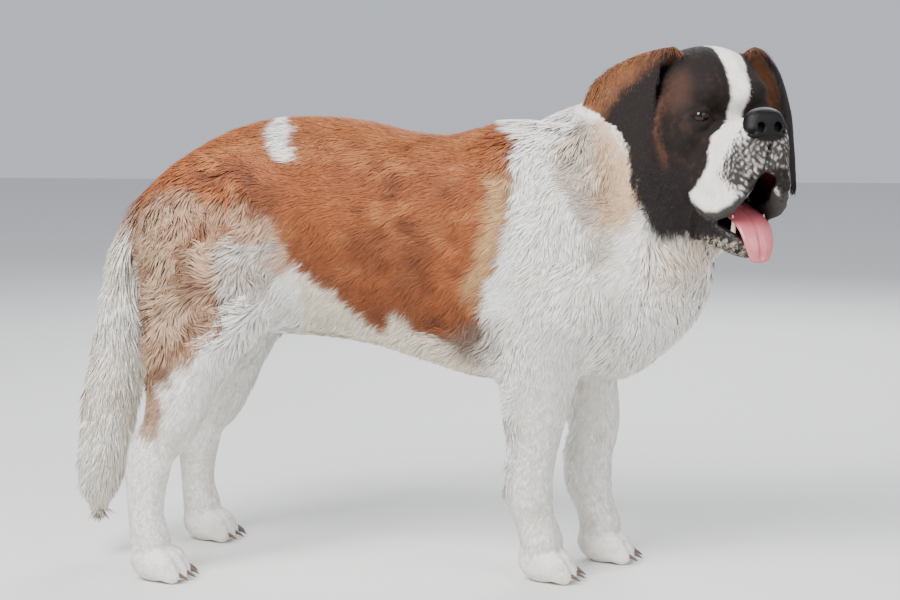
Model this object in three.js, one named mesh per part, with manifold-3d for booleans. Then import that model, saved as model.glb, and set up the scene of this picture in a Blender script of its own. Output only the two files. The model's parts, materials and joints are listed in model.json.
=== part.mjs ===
// A Saint Bernard standing square with its head turned to its right, life size, in millimetres.
// +X runs towards the chest, +Y to the dog's left and +Z up. The four soles stand on z = 0.
// Every mass of the body is a field of distances, the fields blend into one another, and one closed
// surface is drawn round them. That surface is then parted with thin cuts into the named pieces.
import * as THREE from "three";
import Module from "manifold-3d";

const wasm = await Module();
wasm.setup();
const { Manifold, Mesh } = wasm;

// Driving dimensions
const gap = 0.35; // between pieces that touch
const bodyCell = 8; // spacing of the grid that the body's surface is drawn on
const headCell = 4.5;
const right = -1; // the sign of y on the dog's right
const left = 1;
const sides = [right, left];
const standing = { foreleg: { [right]: 0, [left]: 95 }, hindleg: { [right]: 0, [left]: 14 } };

// Where the head is carried and how it is turned
const headPlace = { x: 529, y: -60, z: 814, yaw: -61, pitch: 10, roll: 0 };

// Stations of a limb are [x, y, z, half its depth, half its width], from one end to the other.
const trunk = [
  [-398, 0, 588, 72, 70],
  [-350, 0, 592, 118, 102],
  [-282, 0, 598, 166, 122],
  [-200, 0, 606, 193, 124],
  [-100, 0, 603, 196, 130],
  [0, 0, 585, 193, 144],
  [100, 0, 568, 204, 157],
  [190, 0, 561, 222, 162],
  [270, 0, 560, 214, 156],
  [345, 0, 548, 176, 138],
  [398, 0, 530, 122, 108],
];
const neck = [
  [255, 0, 645, 136, 118],
  [335, 0, 688, 134, 122],
  [410, -8, 728, 122, 116],
  [470, -20, 772, 98, 100],
];
const bib = [
  [496, -62, 655, 78, 88],
  [478, -36, 585, 80, 104],
  [436, -12, 500, 80, 112],
  [390, 0, 436, 70, 98],
];
const shoulder = [
  [225, 92, 700, 70, 52],
  [275, 112, 600, 88, 60],
  [300, 118, 510, 84, 58],
];
const foreleg = [
  [290, 112, 470, 76, 58],
  [262, 104, 395, 70, 56],
  [250, 94, 325, 62, 50],
  [243, 84, 255, 50, 44],
  [236, 79, 200, 46, 42],
  [235, 77, 150, 45, 41],
  [245, 76, 110, 38, 38],
  [257, 76, 70, 40, 42],
];
const hindleg = [
  [-318, 88, 610, 112, 66],
  [-318, 98, 555, 121, 72],
  [-320, 108, 495, 110, 70],
  [-336, 118, 435, 92, 63],
  [-354, 128, 370, 73, 56],
  [-366, 136, 315, 61, 50],
  [-382, 143, 268, 50, 45],
  [-409, 148, 232, 44, 41],
  [-420, 150, 192, 41, 39],
  [-424, 151, 150, 36, 36],
  [-424, 151, 110, 33, 35],
  [-418, 151, 72, 37, 39],
];
const tail = [
  [-380, 0, 676, 36, 40],
  [-432, 0, 638, 38, 42],
  [-478, -4, 565, 40, 42],
  [-494, -8, 480, 44, 44],
  [-506, -12, 400, 48, 46],
  [-520, -16, 310, 50, 48],
  [-538, -20, 200, 46, 46],
  [-546, -22, 135, 30, 32],
  [-546, -22, 100, 12, 14],
];

const toes = [-0.75, -0.26, 0.26, 0.75]; // across the paw, as a share of its half width
const paw = { length: 106, width: 92, height: 62, ahead: 14 };
const toe = { length: 29, width: 14.5, height: 22 };

// Fields of distance

const smoother = (k) => (a, b) => {
  const h = Math.max(k - Math.abs(a - b), 0) / k;
  return Math.min(a, b) - (h * h * k) / 4;
};

// A smooth line through the stations, with steps between each two of them.
function throughStations(stations, steps = 4) {
  const at = (i) => stations[Math.min(Math.max(i, 0), stations.length - 1)];
  const line = [];
  for (let i = 0; i < stations.length - 1; i++) {
    for (let s = 0; s < steps; s++) {
      const t = s / steps;
      line.push(
        at(i).map((b, n) => {
          const [a, c, d] = [at(i - 1)[n], at(i + 1)[n], at(i + 2)[n]];
          return b + 0.5 * t * (c - a + t * (2 * a - 5 * b + 4 * c - d + t * (3 * (b - c) + d - a)));
        }),
      );
    }
  }
  line.push(at(stations.length - 1));
  return line;
}

// A limb with an oval section: deep along its bend and wide across it, along y.
function limb(stations, { steps = 4, power = 2 } = {}) {
  const line = throughStations(stations, steps);
  const reach = Math.max(...line.map((s) => Math.max(s[3], s[4])));
  const low = [0, 1, 2].map((n) => Math.min(...line.map((s) => s[n])) - reach);
  const high = [0, 1, 2].map((n) => Math.max(...line.map((s) => s[n])) + reach);
  const at = (x, y, z) => {
    let best = Infinity;
    for (let i = 0; i < line.length - 1; i++) {
      const p = line[i];
      const q = line[i + 1];
      const dx = q[0] - p[0];
      const dy = q[1] - p[1];
      const dz = q[2] - p[2];
      const along = ((x - p[0]) * dx + (y - p[1]) * dy + (z - p[2]) * dz) / (dx * dx + dy * dy + dz * dz);
      const t = Math.min(Math.max(along, 0), 1);
      const deep = p[3] + (q[3] - p[3]) * t;
      const wide = p[4] + (q[4] - p[4]) * t;
      const across = Math.abs(y - p[1] - dy * t) / wide;
      const rest = Math.hypot(x - p[0] - dx * t, z - p[2] - dz * t) / deep;
      const r = power === 2 ? Math.hypot(across, rest) : (across ** power + rest ** power) ** (1 / power);
      best = Math.min(best, (r - 1) * Math.min(deep, wide));
    }
    return best;
  };
  return { low, high, at };
}

// An egg with three radii, turned about its own y by tilt degrees.
function egg(centre, radii, tilt = 0) {
  const c = Math.cos(THREE.MathUtils.degToRad(tilt));
  const s = Math.sin(THREE.MathUtils.degToRad(tilt));
  const reach = Math.max(...radii);
  const at = (x, y, z) => {
    const u = x - centre[0];
    const v = y - centre[1];
    const w = z - centre[2];
    const a = (u * c + w * s) / radii[0];
    const b = v / radii[1];
    const d = (w * c - u * s) / radii[2];
    const r = Math.hypot(a, b, d);
    return r === 0 ? -Math.min(...radii) : (r * (r - 1)) / Math.hypot(a / radii[0], b / radii[1], d / radii[2]);
  };
  return { low: centre.map((v) => v - reach), high: centre.map((v) => v + reach), at };
}

const mirrored = (stations, side, ahead = 0) =>
  stations.map(([x, y, ...rest]) => [x + ahead, y * side, ...rest]);

// The head's own frame: x to the nose, y to its left, z up, with the origin in the middle of the skull.
const headTurn = new THREE.Matrix4().compose(
  new THREE.Vector3(headPlace.x, headPlace.y, headPlace.z),
  new THREE.Quaternion().setFromEuler(
    new THREE.Euler(
      THREE.MathUtils.degToRad(headPlace.roll),
      THREE.MathUtils.degToRad(-headPlace.pitch),
      THREE.MathUtils.degToRad(headPlace.yaw),
      "ZYX",
    ),
  ),
  new THREE.Vector3(1, 1, 1),
);
const headBack = headTurn.clone().invert().elements;
const fromHead = ([x, y, z]) => new THREE.Vector3(x, y, z).applyMatrix4(headTurn).toArray();

// A field given in the head's frame, placed where the head is.
function onHead(field) {
  const corners = [];
  for (const x of [field.low[0], field.high[0]])
    for (const y of [field.low[1], field.high[1]])
      for (const z of [field.low[2], field.high[2]]) corners.push(fromHead([x, y, z]));
  const m = headBack;
  return {
    low: [0, 1, 2].map((n) => Math.min(...corners.map((c) => c[n]))),
    high: [0, 1, 2].map((n) => Math.max(...corners.map((c) => c[n]))),
    at: (x, y, z) =>
      field.at(
        m[0] * x + m[4] * y + m[8] * z + m[12],
        m[1] * x + m[5] * y + m[9] * z + m[13],
        m[2] * x + m[6] * y + m[10] * z + m[14],
      ),
  };
}

// A grid of distances that masses are blended into and hollows are carved out of.
class Clay {
  constructor(low, high, cell) {
    this.low = low;
    this.cell = cell;
    this.size = low.map((v, n) => Math.ceil((high[n] - v) / cell) + 1);
    this.value = new Float32Array(this.size[0] * this.size[1] * this.size[2]).fill(1e3);
  }
  each(field, margin, change) {
    const first = this.low.map((v, n) => Math.max(0, Math.floor((field.low[n] - margin - v) / this.cell)));
    const last = this.low.map((v, n) =>
      Math.min(this.size[n] - 1, Math.ceil((field.high[n] + margin - v) / this.cell)),
    );
    for (let k = first[2]; k <= last[2]; k++)
      for (let j = first[1]; j <= last[1]; j++)
        for (let i = first[0]; i <= last[0]; i++) {
          const n = i + this.size[0] * (j + this.size[1] * k);
          const x = this.low[0] + i * this.cell;
          const y = this.low[1] + j * this.cell;
          const z = this.low[2] + k * this.cell;
          this.value[n] = change(this.value[n], field.at(x, y, z));
        }
  }
  add(field, blend) {
    this.each(field, blend + 3 * this.cell, smoother(blend));
    return this;
  }
  carve(field, blend) {
    const join = smoother(blend);
    this.each(field, blend + 3 * this.cell, (a, b) => -join(-a, b));
    return this;
  }
  // Corners that touch only across a diagonal are joined, so that the surface never pinches.
  joinDiagonals() {
    const [nx, ny] = this.size;
    const { value } = this;
    const [a, b, c] = [1, nx, nx * ny];
    const squares = [[a, b], [a, c], [b, c]];
    const cubes = [[0, a + b + c], [a, b + c], [b, a + c], [c, a + b]];
    const corners = [0, a, b, c, a + b, a + c, b + c, a + b + c];
    const fill = (list) => list.forEach((n) => (value[n] = Math.min(value[n], -0.02 * this.cell)));
    for (let changed = true; changed; ) {
      changed = false;
      for (let n = 0; n < value.length - (a + b + c); n++) {
        if (Math.abs(value[n]) > 3 * this.cell) continue;
        const inside = (m) => value[n + m] < 0;
        for (const [u, v] of squares)
          if (inside(0) === inside(u + v) && inside(u) === inside(v) && inside(0) !== inside(u)) {
            fill([n, n + u, n + v, n + u + v]);
            changed = true;
          }
        const count = corners.filter(inside).length;
        if (count !== 2 && count !== 6) continue;
        for (const [u, v] of cubes) {
          const alike = corners.filter((m) => inside(m) === inside(u)).length;
          if (inside(u) === inside(v) && inside(u) === (count === 2) && alike === 2) {
            fill(corners.map((m) => n + m));
            changed = true;
          }
        }
      }
    }
    return this;
  }
  // The distances a little rounded, which closes slits too fine for the grid.
  soften() {
    const [nx, ny] = this.size;
    const from = this.value.slice();
    const steps = [1, nx, nx * ny];
    for (let n = nx * ny; n < from.length - nx * ny; n++) {
      if (Math.abs(from[n]) > 2 * this.cell) continue;
      const near = steps.reduce((sum, step) => sum + from[n - step] + from[n + step], 0);
      this.value[n] = from[n] / 2 + near / 12;
    }
    return this;
  }
  // Nothing reaches the edge of the grid, so that the surface closes there.
  closeEdges() {
    const [nx, ny, nz] = this.size;
    const outer = (i, n) => i < 2 || i > n - 2;
    for (let n = 0; n < this.value.length; n++) {
      const [i, j, k] = [n % nx, Math.floor(n / nx) % ny, Math.floor(n / (nx * ny))];
      if (outer(i, nx) || outer(j, ny) || outer(k, nz)) this.value[n] = Math.max(this.value[n], this.cell / 2);
    }
    return this;
  }
  flatten(z) {
    const [nx, ny] = this.size;
    this.value.forEach((v, n) => {
      const here = this.low[2] + this.cell * Math.floor(n / (nx * ny));
      this.value[n] = Math.max(v, z - here);
    });
    return this;
  }
}

// The closed surface where the distances are nought: one point in each cell that it crosses.
function drawSurface(clay) {
  clay.closeEdges().joinDiagonals().closeEdges();
  const [nx, ny, nz] = clay.size;
  const step = [1, nx, nx * ny];
  const value = clay.value;
  const pointOf = new Int32Array(value.length).fill(-1);
  const points = [];
  const corner = [0, 1, nx, nx + 1, nx * ny, nx * ny + 1, nx * ny + nx, nx * ny + nx + 1];
  const edges = [];
  for (let a = 0; a < 8; a++) for (const bit of [1, 2, 4]) if (!(a & bit)) edges.push([a, a | bit]);
  for (let k = 0; k < nz - 1; k++)
    for (let j = 0; j < ny - 1; j++)
      for (let i = 0; i < nx - 1; i++) {
        const n = i + nx * (j + ny * k);
        let inside = 0;
        for (let c = 0; c < 8; c++) if (value[n + corner[c]] < 0) inside++;
        if (inside === 0 || inside === 8) continue;
        const sum = [0, 0, 0];
        let crossings = 0;
        for (const [a, b] of edges) {
          const va = value[n + corner[a]];
          const vb = value[n + corner[b]];
          if (va < 0 === vb < 0) continue;
          const t = va / (va - vb);
          for (let d = 0; d < 3; d++) sum[d] += ((a >> d) & 1) + t * (((b >> d) & 1) - ((a >> d) & 1));
          crossings++;
        }
        pointOf[n] = points.length;
        points.push([i, j, k].map((v, d) => clay.low[d] + clay.cell * (v + sum[d] / crossings)));
      }
  const faces = [];
  for (let k = 1; k < nz - 1; k++)
    for (let j = 1; j < ny - 1; j++)
      for (let i = 1; i < nx - 1; i++) {
        const n = i + nx * (j + ny * k);
        for (let d = 0; d < 3; d++) {
          const here = value[n] < 0;
          if (here === value[n + step[d]] < 0) continue;
          const u = step[(d + 1) % 3];
          const v = step[(d + 2) % 3];
          const ring = [n, n - u, n - u - v, n - v].map((m) => pointOf[m]);
          if (!here) ring.reverse();
          faces.push([ring[0], ring[1], ring[2]], [ring[0], ring[2], ring[3]]);
        }
      }
  return { points, faces };
}

// Fewer triangles: the edges whose loss moves the surface least are closed first.
// care says how dearly the surface is held at a point.
function thin({ points, faces }, wanted, care = () => 1) {
  const place = points.map((p) => p.slice());
  const quadric = points.map(() => new Float64Array(10));
  const around = points.map(() => new Set());
  const normalOf = (a, b, c) => {
    const [ux, uy, uz] = [b[0] - a[0], b[1] - a[1], b[2] - a[2]];
    const [vx, vy, vz] = [c[0] - a[0], c[1] - a[1], c[2] - a[2]];
    return [uy * vz - uz * vy, uz * vx - ux * vz, ux * vy - uy * vx];
  };
  const alive = new Uint8Array(faces.length).fill(1);
  faces.forEach((face, f) => {
    const [a, b, c] = face.map((v) => place[v]);
    const n = normalOf(a, b, c);
    const size = Math.hypot(...n) || 1e-9;
    const [x, y, z] = n.map((v) => v / size);
    const w = -(x * a[0] + y * a[1] + z * a[2]);
    const weight = size * care(a);
    const q = [x * x, x * y, x * z, x * w, y * y, y * z, y * w, z * z, z * w, w * w];
    for (const v of face) {
      around[v].add(f);
      q.forEach((value, n) => (quadric[v][n] += value * weight));
    }
  });
  const error = (q, [x, y, z]) =>
    q[0] * x * x + q[4] * y * y + q[7] * z * z + q[9] +
    2 * (q[1] * x * y + q[2] * x * z + q[5] * y * z + q[3] * x + q[6] * y + q[8] * z);
  const bestPlace = (q, a, b) => {
    const middle = a.map((v, n) => (v + b[n]) / 2);
    const d = q[0] * (q[4] * q[7] - q[5] * q[5]) - q[1] * (q[1] * q[7] - q[5] * q[2]) +
      q[2] * (q[1] * q[5] - q[4] * q[2]);
    const choices = [middle, a, b];
    const length = Math.hypot(...a.map((v, n) => v - b[n]));
    if (Math.abs(d) > 1e-4 * (q[0] + q[4] + q[7]) ** 3) {
      const [r0, r1, r2] = [-q[3], -q[6], -q[8]];
      const found = [
        (r0 * (q[4] * q[7] - q[5] * q[5]) - q[1] * (r1 * q[7] - q[5] * r2) + q[2] * (r1 * q[5] - q[4] * r2)) / d,
        (q[0] * (r1 * q[7] - q[5] * r2) - r0 * (q[1] * q[7] - q[5] * q[2]) + q[2] * (q[1] * r2 - r1 * q[2])) / d,
        (q[0] * (q[4] * r2 - r1 * q[5]) - q[1] * (q[1] * r2 - r1 * q[2]) + r0 * (q[1] * q[5] - q[4] * q[2])) / d,
      ];
      if (Math.hypot(...found.map((v, n) => v - middle[n])) < length) choices.unshift(found);
    }
    return choices.reduce((best, p) => (error(q, p) < error(q, best) ? p : best));
  };
  const heap = [];
  const swap = (i, j) => ([heap[i], heap[j]] = [heap[j], heap[i]]);
  const push = (item) => {
    let i = heap.push(item) - 1;
    while (i && heap[(i - 1) >> 1].cost > heap[i].cost) swap(i, (i = (i - 1) >> 1));
  };
  const pop = () => {
    const top = heap[0];
    const last = heap.pop();
    if (heap.length) {
      heap[0] = last;
      for (let i = 0; ; ) {
        let c = 2 * i + 1;
        if (c >= heap.length) break;
        if (c + 1 < heap.length && heap[c + 1].cost < heap[c].cost) c++;
        if (heap[i].cost <= heap[c].cost) break;
        swap(i, c);
        i = c;
      }
    }
    return top;
  };
  const stamp = new Uint32Array(points.length);
  const offer = (a, b) => {
    const q = quadric[a].map((v, n) => v + quadric[b][n]);
    const to = bestPlace(q, place[a], place[b]);
    const spread = Math.hypot(...place[a].map((v, n) => v - place[b][n]));
    push({ a, b, to, cost: Math.max(error(q, to), 0) + 1e-3 * spread ** 3, marks: stamp[a] + stamp[b] });
  };
  const near = (v) => {
    const found = new Set();
    for (const f of around[v]) for (const u of faces[f]) if (u !== v) found.add(u);
    return found;
  };
  points.forEach((_, v) => near(v).forEach((u) => u > v && offer(v, u)));
  let left = faces.length;
  while (left > wanted && heap.length) {
    const { a, b, to, marks } = pop();
    if (!around[a].size || !around[b].size || marks !== stamp[a] + stamp[b]) continue;
    const [nearA, nearB] = [near(a), near(b)];
    if (!nearA.has(b)) continue;
    if ([...nearA].filter((v) => nearB.has(v)).length !== 2) continue;
    const turned = [a, b].some((v) =>
      [...around[v]].some((f) => {
        const face = faces[f];
        if (face.includes(a) && face.includes(b)) return false;
        const before = normalOf(...face.map((u) => place[u]));
        const after = normalOf(...face.map((u) => (u === v ? to : place[u])));
        const dot = before[0] * after[0] + before[1] * after[1] + before[2] * after[2];
        return dot < 0.25 * Math.hypot(...before) * Math.hypot(...after) || Math.hypot(...after) < 1e-3;
      }),
    );
    if (turned) continue;
    place[a] = to;
    quadric[b].forEach((v, n) => (quadric[a][n] += v));
    for (const f of around[b]) {
      if (faces[f].includes(a)) {
        alive[f] = 0;
        left--;
        faces[f].forEach((v) => v !== b && around[v].delete(f));
      } else {
        faces[f] = faces[f].map((v) => (v === b ? a : v));
        around[a].add(f);
      }
    }
    around[b].clear();
    stamp[a] += 1;
    stamp[b] += 1;
    const ring = near(a);
    ring.forEach((v) => offer(a, v));
  }
  const kept = faces.filter((_, f) => alive[f]);
  const name = new Map();
  for (const face of kept) for (const v of face) if (!name.has(v)) name.set(v, name.size);
  return { points: [...name.keys()].map((v) => place[v]), faces: kept.map((f) => f.map((v) => name.get(v))) };
}

// Closed meshes as solids, and back

const solid = ({ points, faces }) =>
  new Manifold(
    new Mesh({
      numProp: 3,
      vertProperties: new Float32Array(points.flat()),
      triVerts: new Uint32Array(faces.flat()),
    }),
  );

const meshOf = (made) => {
  const m = made.getMesh();
  const points = [];
  const faces = [];
  for (let i = 0; i < m.numVert; i++) points.push([...m.vertProperties.subarray(i * m.numProp, i * m.numProp + 3)]);
  for (let i = 0; i < m.numTri; i++) faces.push([...m.triVerts.subarray(i * 3, i * 3 + 3)]);
  return { points, faces };
};

// The largest closed body of a solid.
const largest = (made) => made.decompose().reduce((a, b) => (b.volume() > a.volume() ? b : a));

// The same mesh with every point moved out along its normal by more than the gap.
function grown({ points, faces }, by = gap) {
  const normal = points.map(() => new THREE.Vector3());
  const [p, q, r] = [new THREE.Vector3(), new THREE.Vector3(), new THREE.Vector3()];
  const facing = faces.map((face) => {
    [p, q, r].forEach((v, n) => v.fromArray(points[face[n]]));
    return q.clone().sub(p).cross(r.clone().sub(p)).normalize();
  });
  faces.forEach((face, f) => face.forEach((v) => normal[v].add(facing[f])));
  const lean = points.map(() => 1);
  normal.forEach((n) => n.normalize());
  faces.forEach((face, f) => face.forEach((v) => (lean[v] = Math.min(lean[v], normal[v].dot(facing[f])))));
  return {
    points: points.map((v, i) => v.map((c, n) => c + (normal[i].getComponent(n) * by) / Math.max(lean[i], 0.4))),
    faces,
  };
}

// A prism over an outline in x and z, between two values of y.
function prism(outline, y0, y1) {
  const shape = new THREE.Shape(outline.map(([x, z]) => new THREE.Vector2(x, z)));
  const made = new THREE.ExtrudeGeometry(shape, { depth: y1 - y0, bevelEnabled: false });
  made.rotateX(Math.PI / 2).translate(0, y1, 0);
  return fromGeometry(made);
}

function fromGeometry(geometry) {
  const loose = geometry.index ? geometry.toNonIndexed() : geometry;
  const bare = new THREE.BufferGeometry().setAttribute("position", loose.getAttribute("position"));
  const place = bare.getAttribute("position");
  const known = new Map();
  const points = [];
  const faces = [];
  for (let i = 0; i < place.count; i += 3) {
    const face = [0, 1, 2].map((c) => {
      const p = [place.getX(i + c), place.getY(i + c), place.getZ(i + c)];
      const key = p.map((v) => Math.round(v * 1e3)).join();
      if (!known.has(key)) known.set(key, points.push(p) - 1);
      return known.get(key);
    });
    if (new Set(face).size === 3) faces.push(face);
  }
  return solid({ points, faces });
}

// Everything on the far side of a plane, as a big box whose near face lies in it.
function beyond(point, normal) {
  const size = 4000;
  const box = new THREE.BoxGeometry(size, size, size).translate(0, 0, size / 2);
  const turn = new THREE.Quaternion().setFromUnitVectors(
    new THREE.Vector3(0, 0, 1),
    new THREE.Vector3(...normal).normalize(),
  );
  return fromGeometry(box.applyQuaternion(turn).translate(...point));
}

// The head's masses, in the head's own frame

const pair = (make) => sides.flatMap(make);

const skull = [
  [egg([-8, 0, 28], [104, 97, 80]), 30],
  [egg([-72, 0, 22], [52, 66, 66]), 40],
  ...pair((s) => [[egg([64, 40 * s, 16], [38, 36, 26]), 20]]),
  ...pair((s) => [[egg([26, 70 * s, -40], [64, 35, 50]), 26]]),
  ...pair((s) => [[egg([-12, 66 * s, -92], [60, 38, 66]), 36]]),
];
const muzzle = [
  [limb([[58, 0, -74, 46, 60], [105, 0, -76, 43, 56], [156, 0, -76, 38, 50]], { power: 2.7 }), 16],
];
const flews = pair((s) => [
  [
    limb([
      [168, 20 * s, -104, 26, 23],
      [138, 36 * s, -128, 40, 21],
      [100, 45 * s, -136, 44, 19],
      [62, 52 * s, -122, 34, 21],
    ]),
    18,
  ],
  [
    limb([
      [172, 17 * s, -128, 13, 16],
      [158, 35 * s, -152, 14, 15],
      [132, 47 * s, -176, 15, 14],
      [100, 52 * s, -184, 15, 13],
      [70, 55 * s, -168, 15, 13],
      [48, 55 * s, -140, 15, 15],
    ]),
    14,
  ],
]);
const eyeAt = [84, 60, -26];
const eyeRadius = 14;
const sockets = pair((s) => [[egg([100, 65 * s, -28], [20, 20, 12]), 9]]);
const lids = pair((s) => [
  [limb([[85, 44 * s, -24, 6, 6], [93, 57 * s, -17, 8, 8], [81, 74 * s, -22, 8, 8]]), 7],
  [limb([[87, 45 * s, -33, 5, 5], [93, 59 * s, -41, 7, 7], [79, 75 * s, -37, 7, 7]]), 7],
]);
const furrow = [[limb([[104, 0, 4, 8, 7], [92, 0, 50, 9, 7], [62, 0, 92, 7, 6]]), 14]];
const philtrum = [[limb([[186, 0, -84, 4, 4], [190, 0, -112, 5, 4], [184, 0, -140, 6, 5]]), 5]];
const gape = [[40, 0, -150, 40, 44], [100, 0, -152, 36, 42], [150, 0, -142, 20, 27], [175, 0, -150, 14, 15]];
const mouth = [[limb(gape), 6]];
const throat = [[limb([[-50, 0, -40, 84, 86], [-95, 0, -90, 100, 100]]), 40]];
const dewlap = [[limb([[40, 0, -190, 26, 36], [-20, 0, -190, 44, 58], [-70, 0, -160, 70, 86]]), 34]];

const nosePad = [
  [egg([176, 0, -57], [22, 35, 26]), 4],
  [egg([181, 0, -46], [19, 32, 17]), 10],
  ...pair((s) => [[egg([181, 20 * s, -63], [18, 18, 16]), 7]]),
];
const nostrils = pair((s) => [
  [limb([[204, 14 * s, -63, 8, 7], [187, 17 * s, -60, 7, 7]]), 3],
  [limb([[201, 22 * s, -70, 3.6, 3.6], [182, 36 * s, -68, 3, 3]]), 2],
]);

const jawBone = [
  [limb([[-6, 0, -186, 34, 56], [52, 0, -214, 31, 48], [96, 0, -238, 24, 38], [120, 0, -250, 15, 27]]), 14],
  ...pair((s) => [
    [
      limb([
        [2, 52 * s, -168, 22, 10],
        [34, 56 * s, -194, 26, 11],
        [66, 50 * s, -212, 24, 11],
        [96, 38 * s, -226, 18, 10],
        [118, 19 * s, -236, 12, 10],
      ]),
      10,
    ],
  ]),
];
const bed = [[20, 0, -140, 26, 36], [70, 0, -178, 20, 30], [108, 0, -212, 16, 26], [150, 0, -240, 14, 24]];
const tongueBed = [[limb(bed), 6]];
const tongueShape = [
  [
    limb([
      [40, 0, -160, 12, 30],
      [84, 0, -184, 10, 32],
      [112, 0, -200, 8, 32],
      [130, 0, -220, 7, 30],
      [138, 0, -246, 7, 26],
      [137, 0, -268, 6, 18],
    ]),
    4,
  ],
];
const canine = (s) => limb([[104, 27 * s, -226, 6, 5], [110, 28 * s, -208, 4, 3.5], [111, 29 * s, -196, 1.6, 1.6]]);
const canines = pair((s) => [[canine(s), 2]]);

function shaped(clay, masses, hollows = []) {
  for (const [field, blend] of masses) clay.add(field, blend);
  for (const [field, blend] of hollows) clay.carve(field, blend);
  return clay;
}
const placed = (masses) => masses.map(([field, blend]) => [onHead(field), blend]);

// The body, its legs and the tail

// How far each station of a foreleg is moved for the dog's stance, the shoulder least.
const stepped = (s, station) => standing.foreleg[s] * Math.min(1, 0.25 + station / 4);

const bodyMasses = [
  [limb(trunk, { power: 2.3 }), 1],
  [limb(neck), 60],
  [limb(bib), 60],
  ...pair((s) => [
    [limb(mirrored(shoulder, s)), 36],
    [limb(mirrored(foreleg, s).map((v, i) => [v[0] + stepped(s, i), ...v.slice(1)])), 34],
    [limb(mirrored(hindleg, s, standing.hindleg[s])), 44],
  ]),
];

// A paw: a pad with four toes, and its sole on the ground.
function pawMasses(x, y) {
  const half = paw.width / 2;
  return [
    [egg([x - 4, y, 30], [50, half - 3, 34], -12), 16],
    ...toes.map((across) => {
      const out = across * half;
      const tip = x + paw.length / 2 - 10 - 16 * Math.abs(across);
      return [
        limb([
          [x, y + out * 0.8, 40, 19, toe.width],
          [tip - 16, y + out, 30, 24, toe.width],
          [tip, y + out, 16, 16, 12],
        ]),
        7,
      ];
    }),
  ];
}
const pawPlaces = pair((s) => [
  [267 + standing.foreleg[s], 76 * s],
  [-402 + standing.hindleg[s], 151 * s],
]);

const body = shaped(new Clay([-560, -250, -24], [680, 250, 960], bodyCell), [
  ...bodyMasses,
  ...placed([...throat, ...skull.slice(0, 2), ...dewlap]),
  ...pawPlaces.flatMap(([x, y]) => pawMasses(x, y)),
]).flatten(0);

const head = shaped(
  new Clay([330, -310, 480], [740, 150, 950], headCell),
  [...bodyMasses.slice(1, 3), ...placed([...throat, ...skull, ...muzzle, ...flews, ...dewlap])],
  placed([...mouth, ...furrow, ...sockets, ...philtrum]),
);
shaped(head, placed(lids)).soften();

// A piece of its own, drawn finely from its masses.
function drawn(fields, hollows, cell, wanted) {
  const low = [0, 1, 2].map((n) => Math.min(...fields.map(([f]) => f.low[n])) - 4 * cell);
  const high = [0, 1, 2].map((n) => Math.max(...fields.map(([f]) => f.high[n])) + 4 * cell);
  return thin(drawSurface(shaped(new Clay(low, high, cell), fields, hollows).soften()), wanted);
}

// The ear: a soft flap that rises from the side of the skull, folds over and hangs.
// Each row runs from its front edge to its back edge, in the head's frame.
const earRows = [
  [[36, 56, 82], [-56, 72, 52]],
  [[36, 78, 95], [-92, 124, 78]],
  [[28, 100, 62], [-116, 160, 46]],
  [[16, 108, 0], [-106, 163, -18]],
  [[4, 110, -62], [-72, 146, -82]],
  [[-10, 115, -114], [-48, 133, -124]],
  [[-22, 121, -142], [-34, 125, -145]],
];
// How far each ear hangs forwards and away from the cheek, and how much of that each of its rows takes.
const earSwing = [[0, 0], [14, 26]];
const earHang = [0, 0.2, 0.6, 1, 1.1, 1.1, 1.1];
const ear = { thick: 13, edge: 4, bulge: 16, across: 5, steps: 2 };

const swing = (side, row, axis) => earSwing[side === left ? 1 : 0][axis] * earHang[row];

function earFlap(side) {
  const swung = earRows.map((row, r) => row.map(([x, y, z]) => [x + swing(side, r, 0), y + swing(side, r, 1), z]));
  const rows = throughStations(swung.map(([front, back]) => [...front, ...back]), ear.steps);
  const points = [];
  const faces = [];
  const count = ear.across + 1;
  const last = rows.length - 1;
  rows.forEach((row, r) => {
    const end = r === 0 || r === last;
    for (const face of [1, -1])
      for (let i = 0; i < count; i++) {
        const t = i / ear.across;
        const arch = 4 * t * (1 - t);
        const flap = (ear.edge + (end ? 0 : (ear.thick - ear.edge) * Math.sqrt(arch))) / 2;
        const out = ear.bulge * arch * (end ? 0.5 : 1) + face * flap;
        const [x, y, z] = [0, 1, 2].map((n) => row[n] + (row[n + 3] - row[n]) * t);
        points.push(fromHead([x + 0.45 * out, side * (y + 0.86 * out), z + 0.25 * out]));
      }
  });
  const at = (r, face, i) => r * 2 * count + face * count + i;
  const quad = (a, b, c, d) => faces.push([a, b, c], [a, c, d]);
  for (let r = 0; r < last; r++) {
    for (let i = 0; i < ear.across; i++) {
      quad(at(r, 0, i), at(r + 1, 0, i), at(r + 1, 0, i + 1), at(r, 0, i + 1));
      quad(at(r, 1, i + 1), at(r + 1, 1, i + 1), at(r + 1, 1, i), at(r, 1, i));
    }
    quad(at(r, 1, 0), at(r + 1, 1, 0), at(r + 1, 0, 0), at(r, 0, 0));
    quad(at(r, 0, ear.across), at(r + 1, 0, ear.across), at(r + 1, 1, ear.across), at(r, 1, ear.across));
  }
  for (let i = 0; i < ear.across; i++) {
    quad(at(0, 0, i), at(0, 0, i + 1), at(0, 1, i + 1), at(0, 1, i));
    quad(at(last, 1, i), at(last, 1, i + 1), at(last, 0, i + 1), at(last, 0, i));
  }
  if (side === right) faces.forEach((f) => f.reverse());
  return { points, faces };
}

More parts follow.
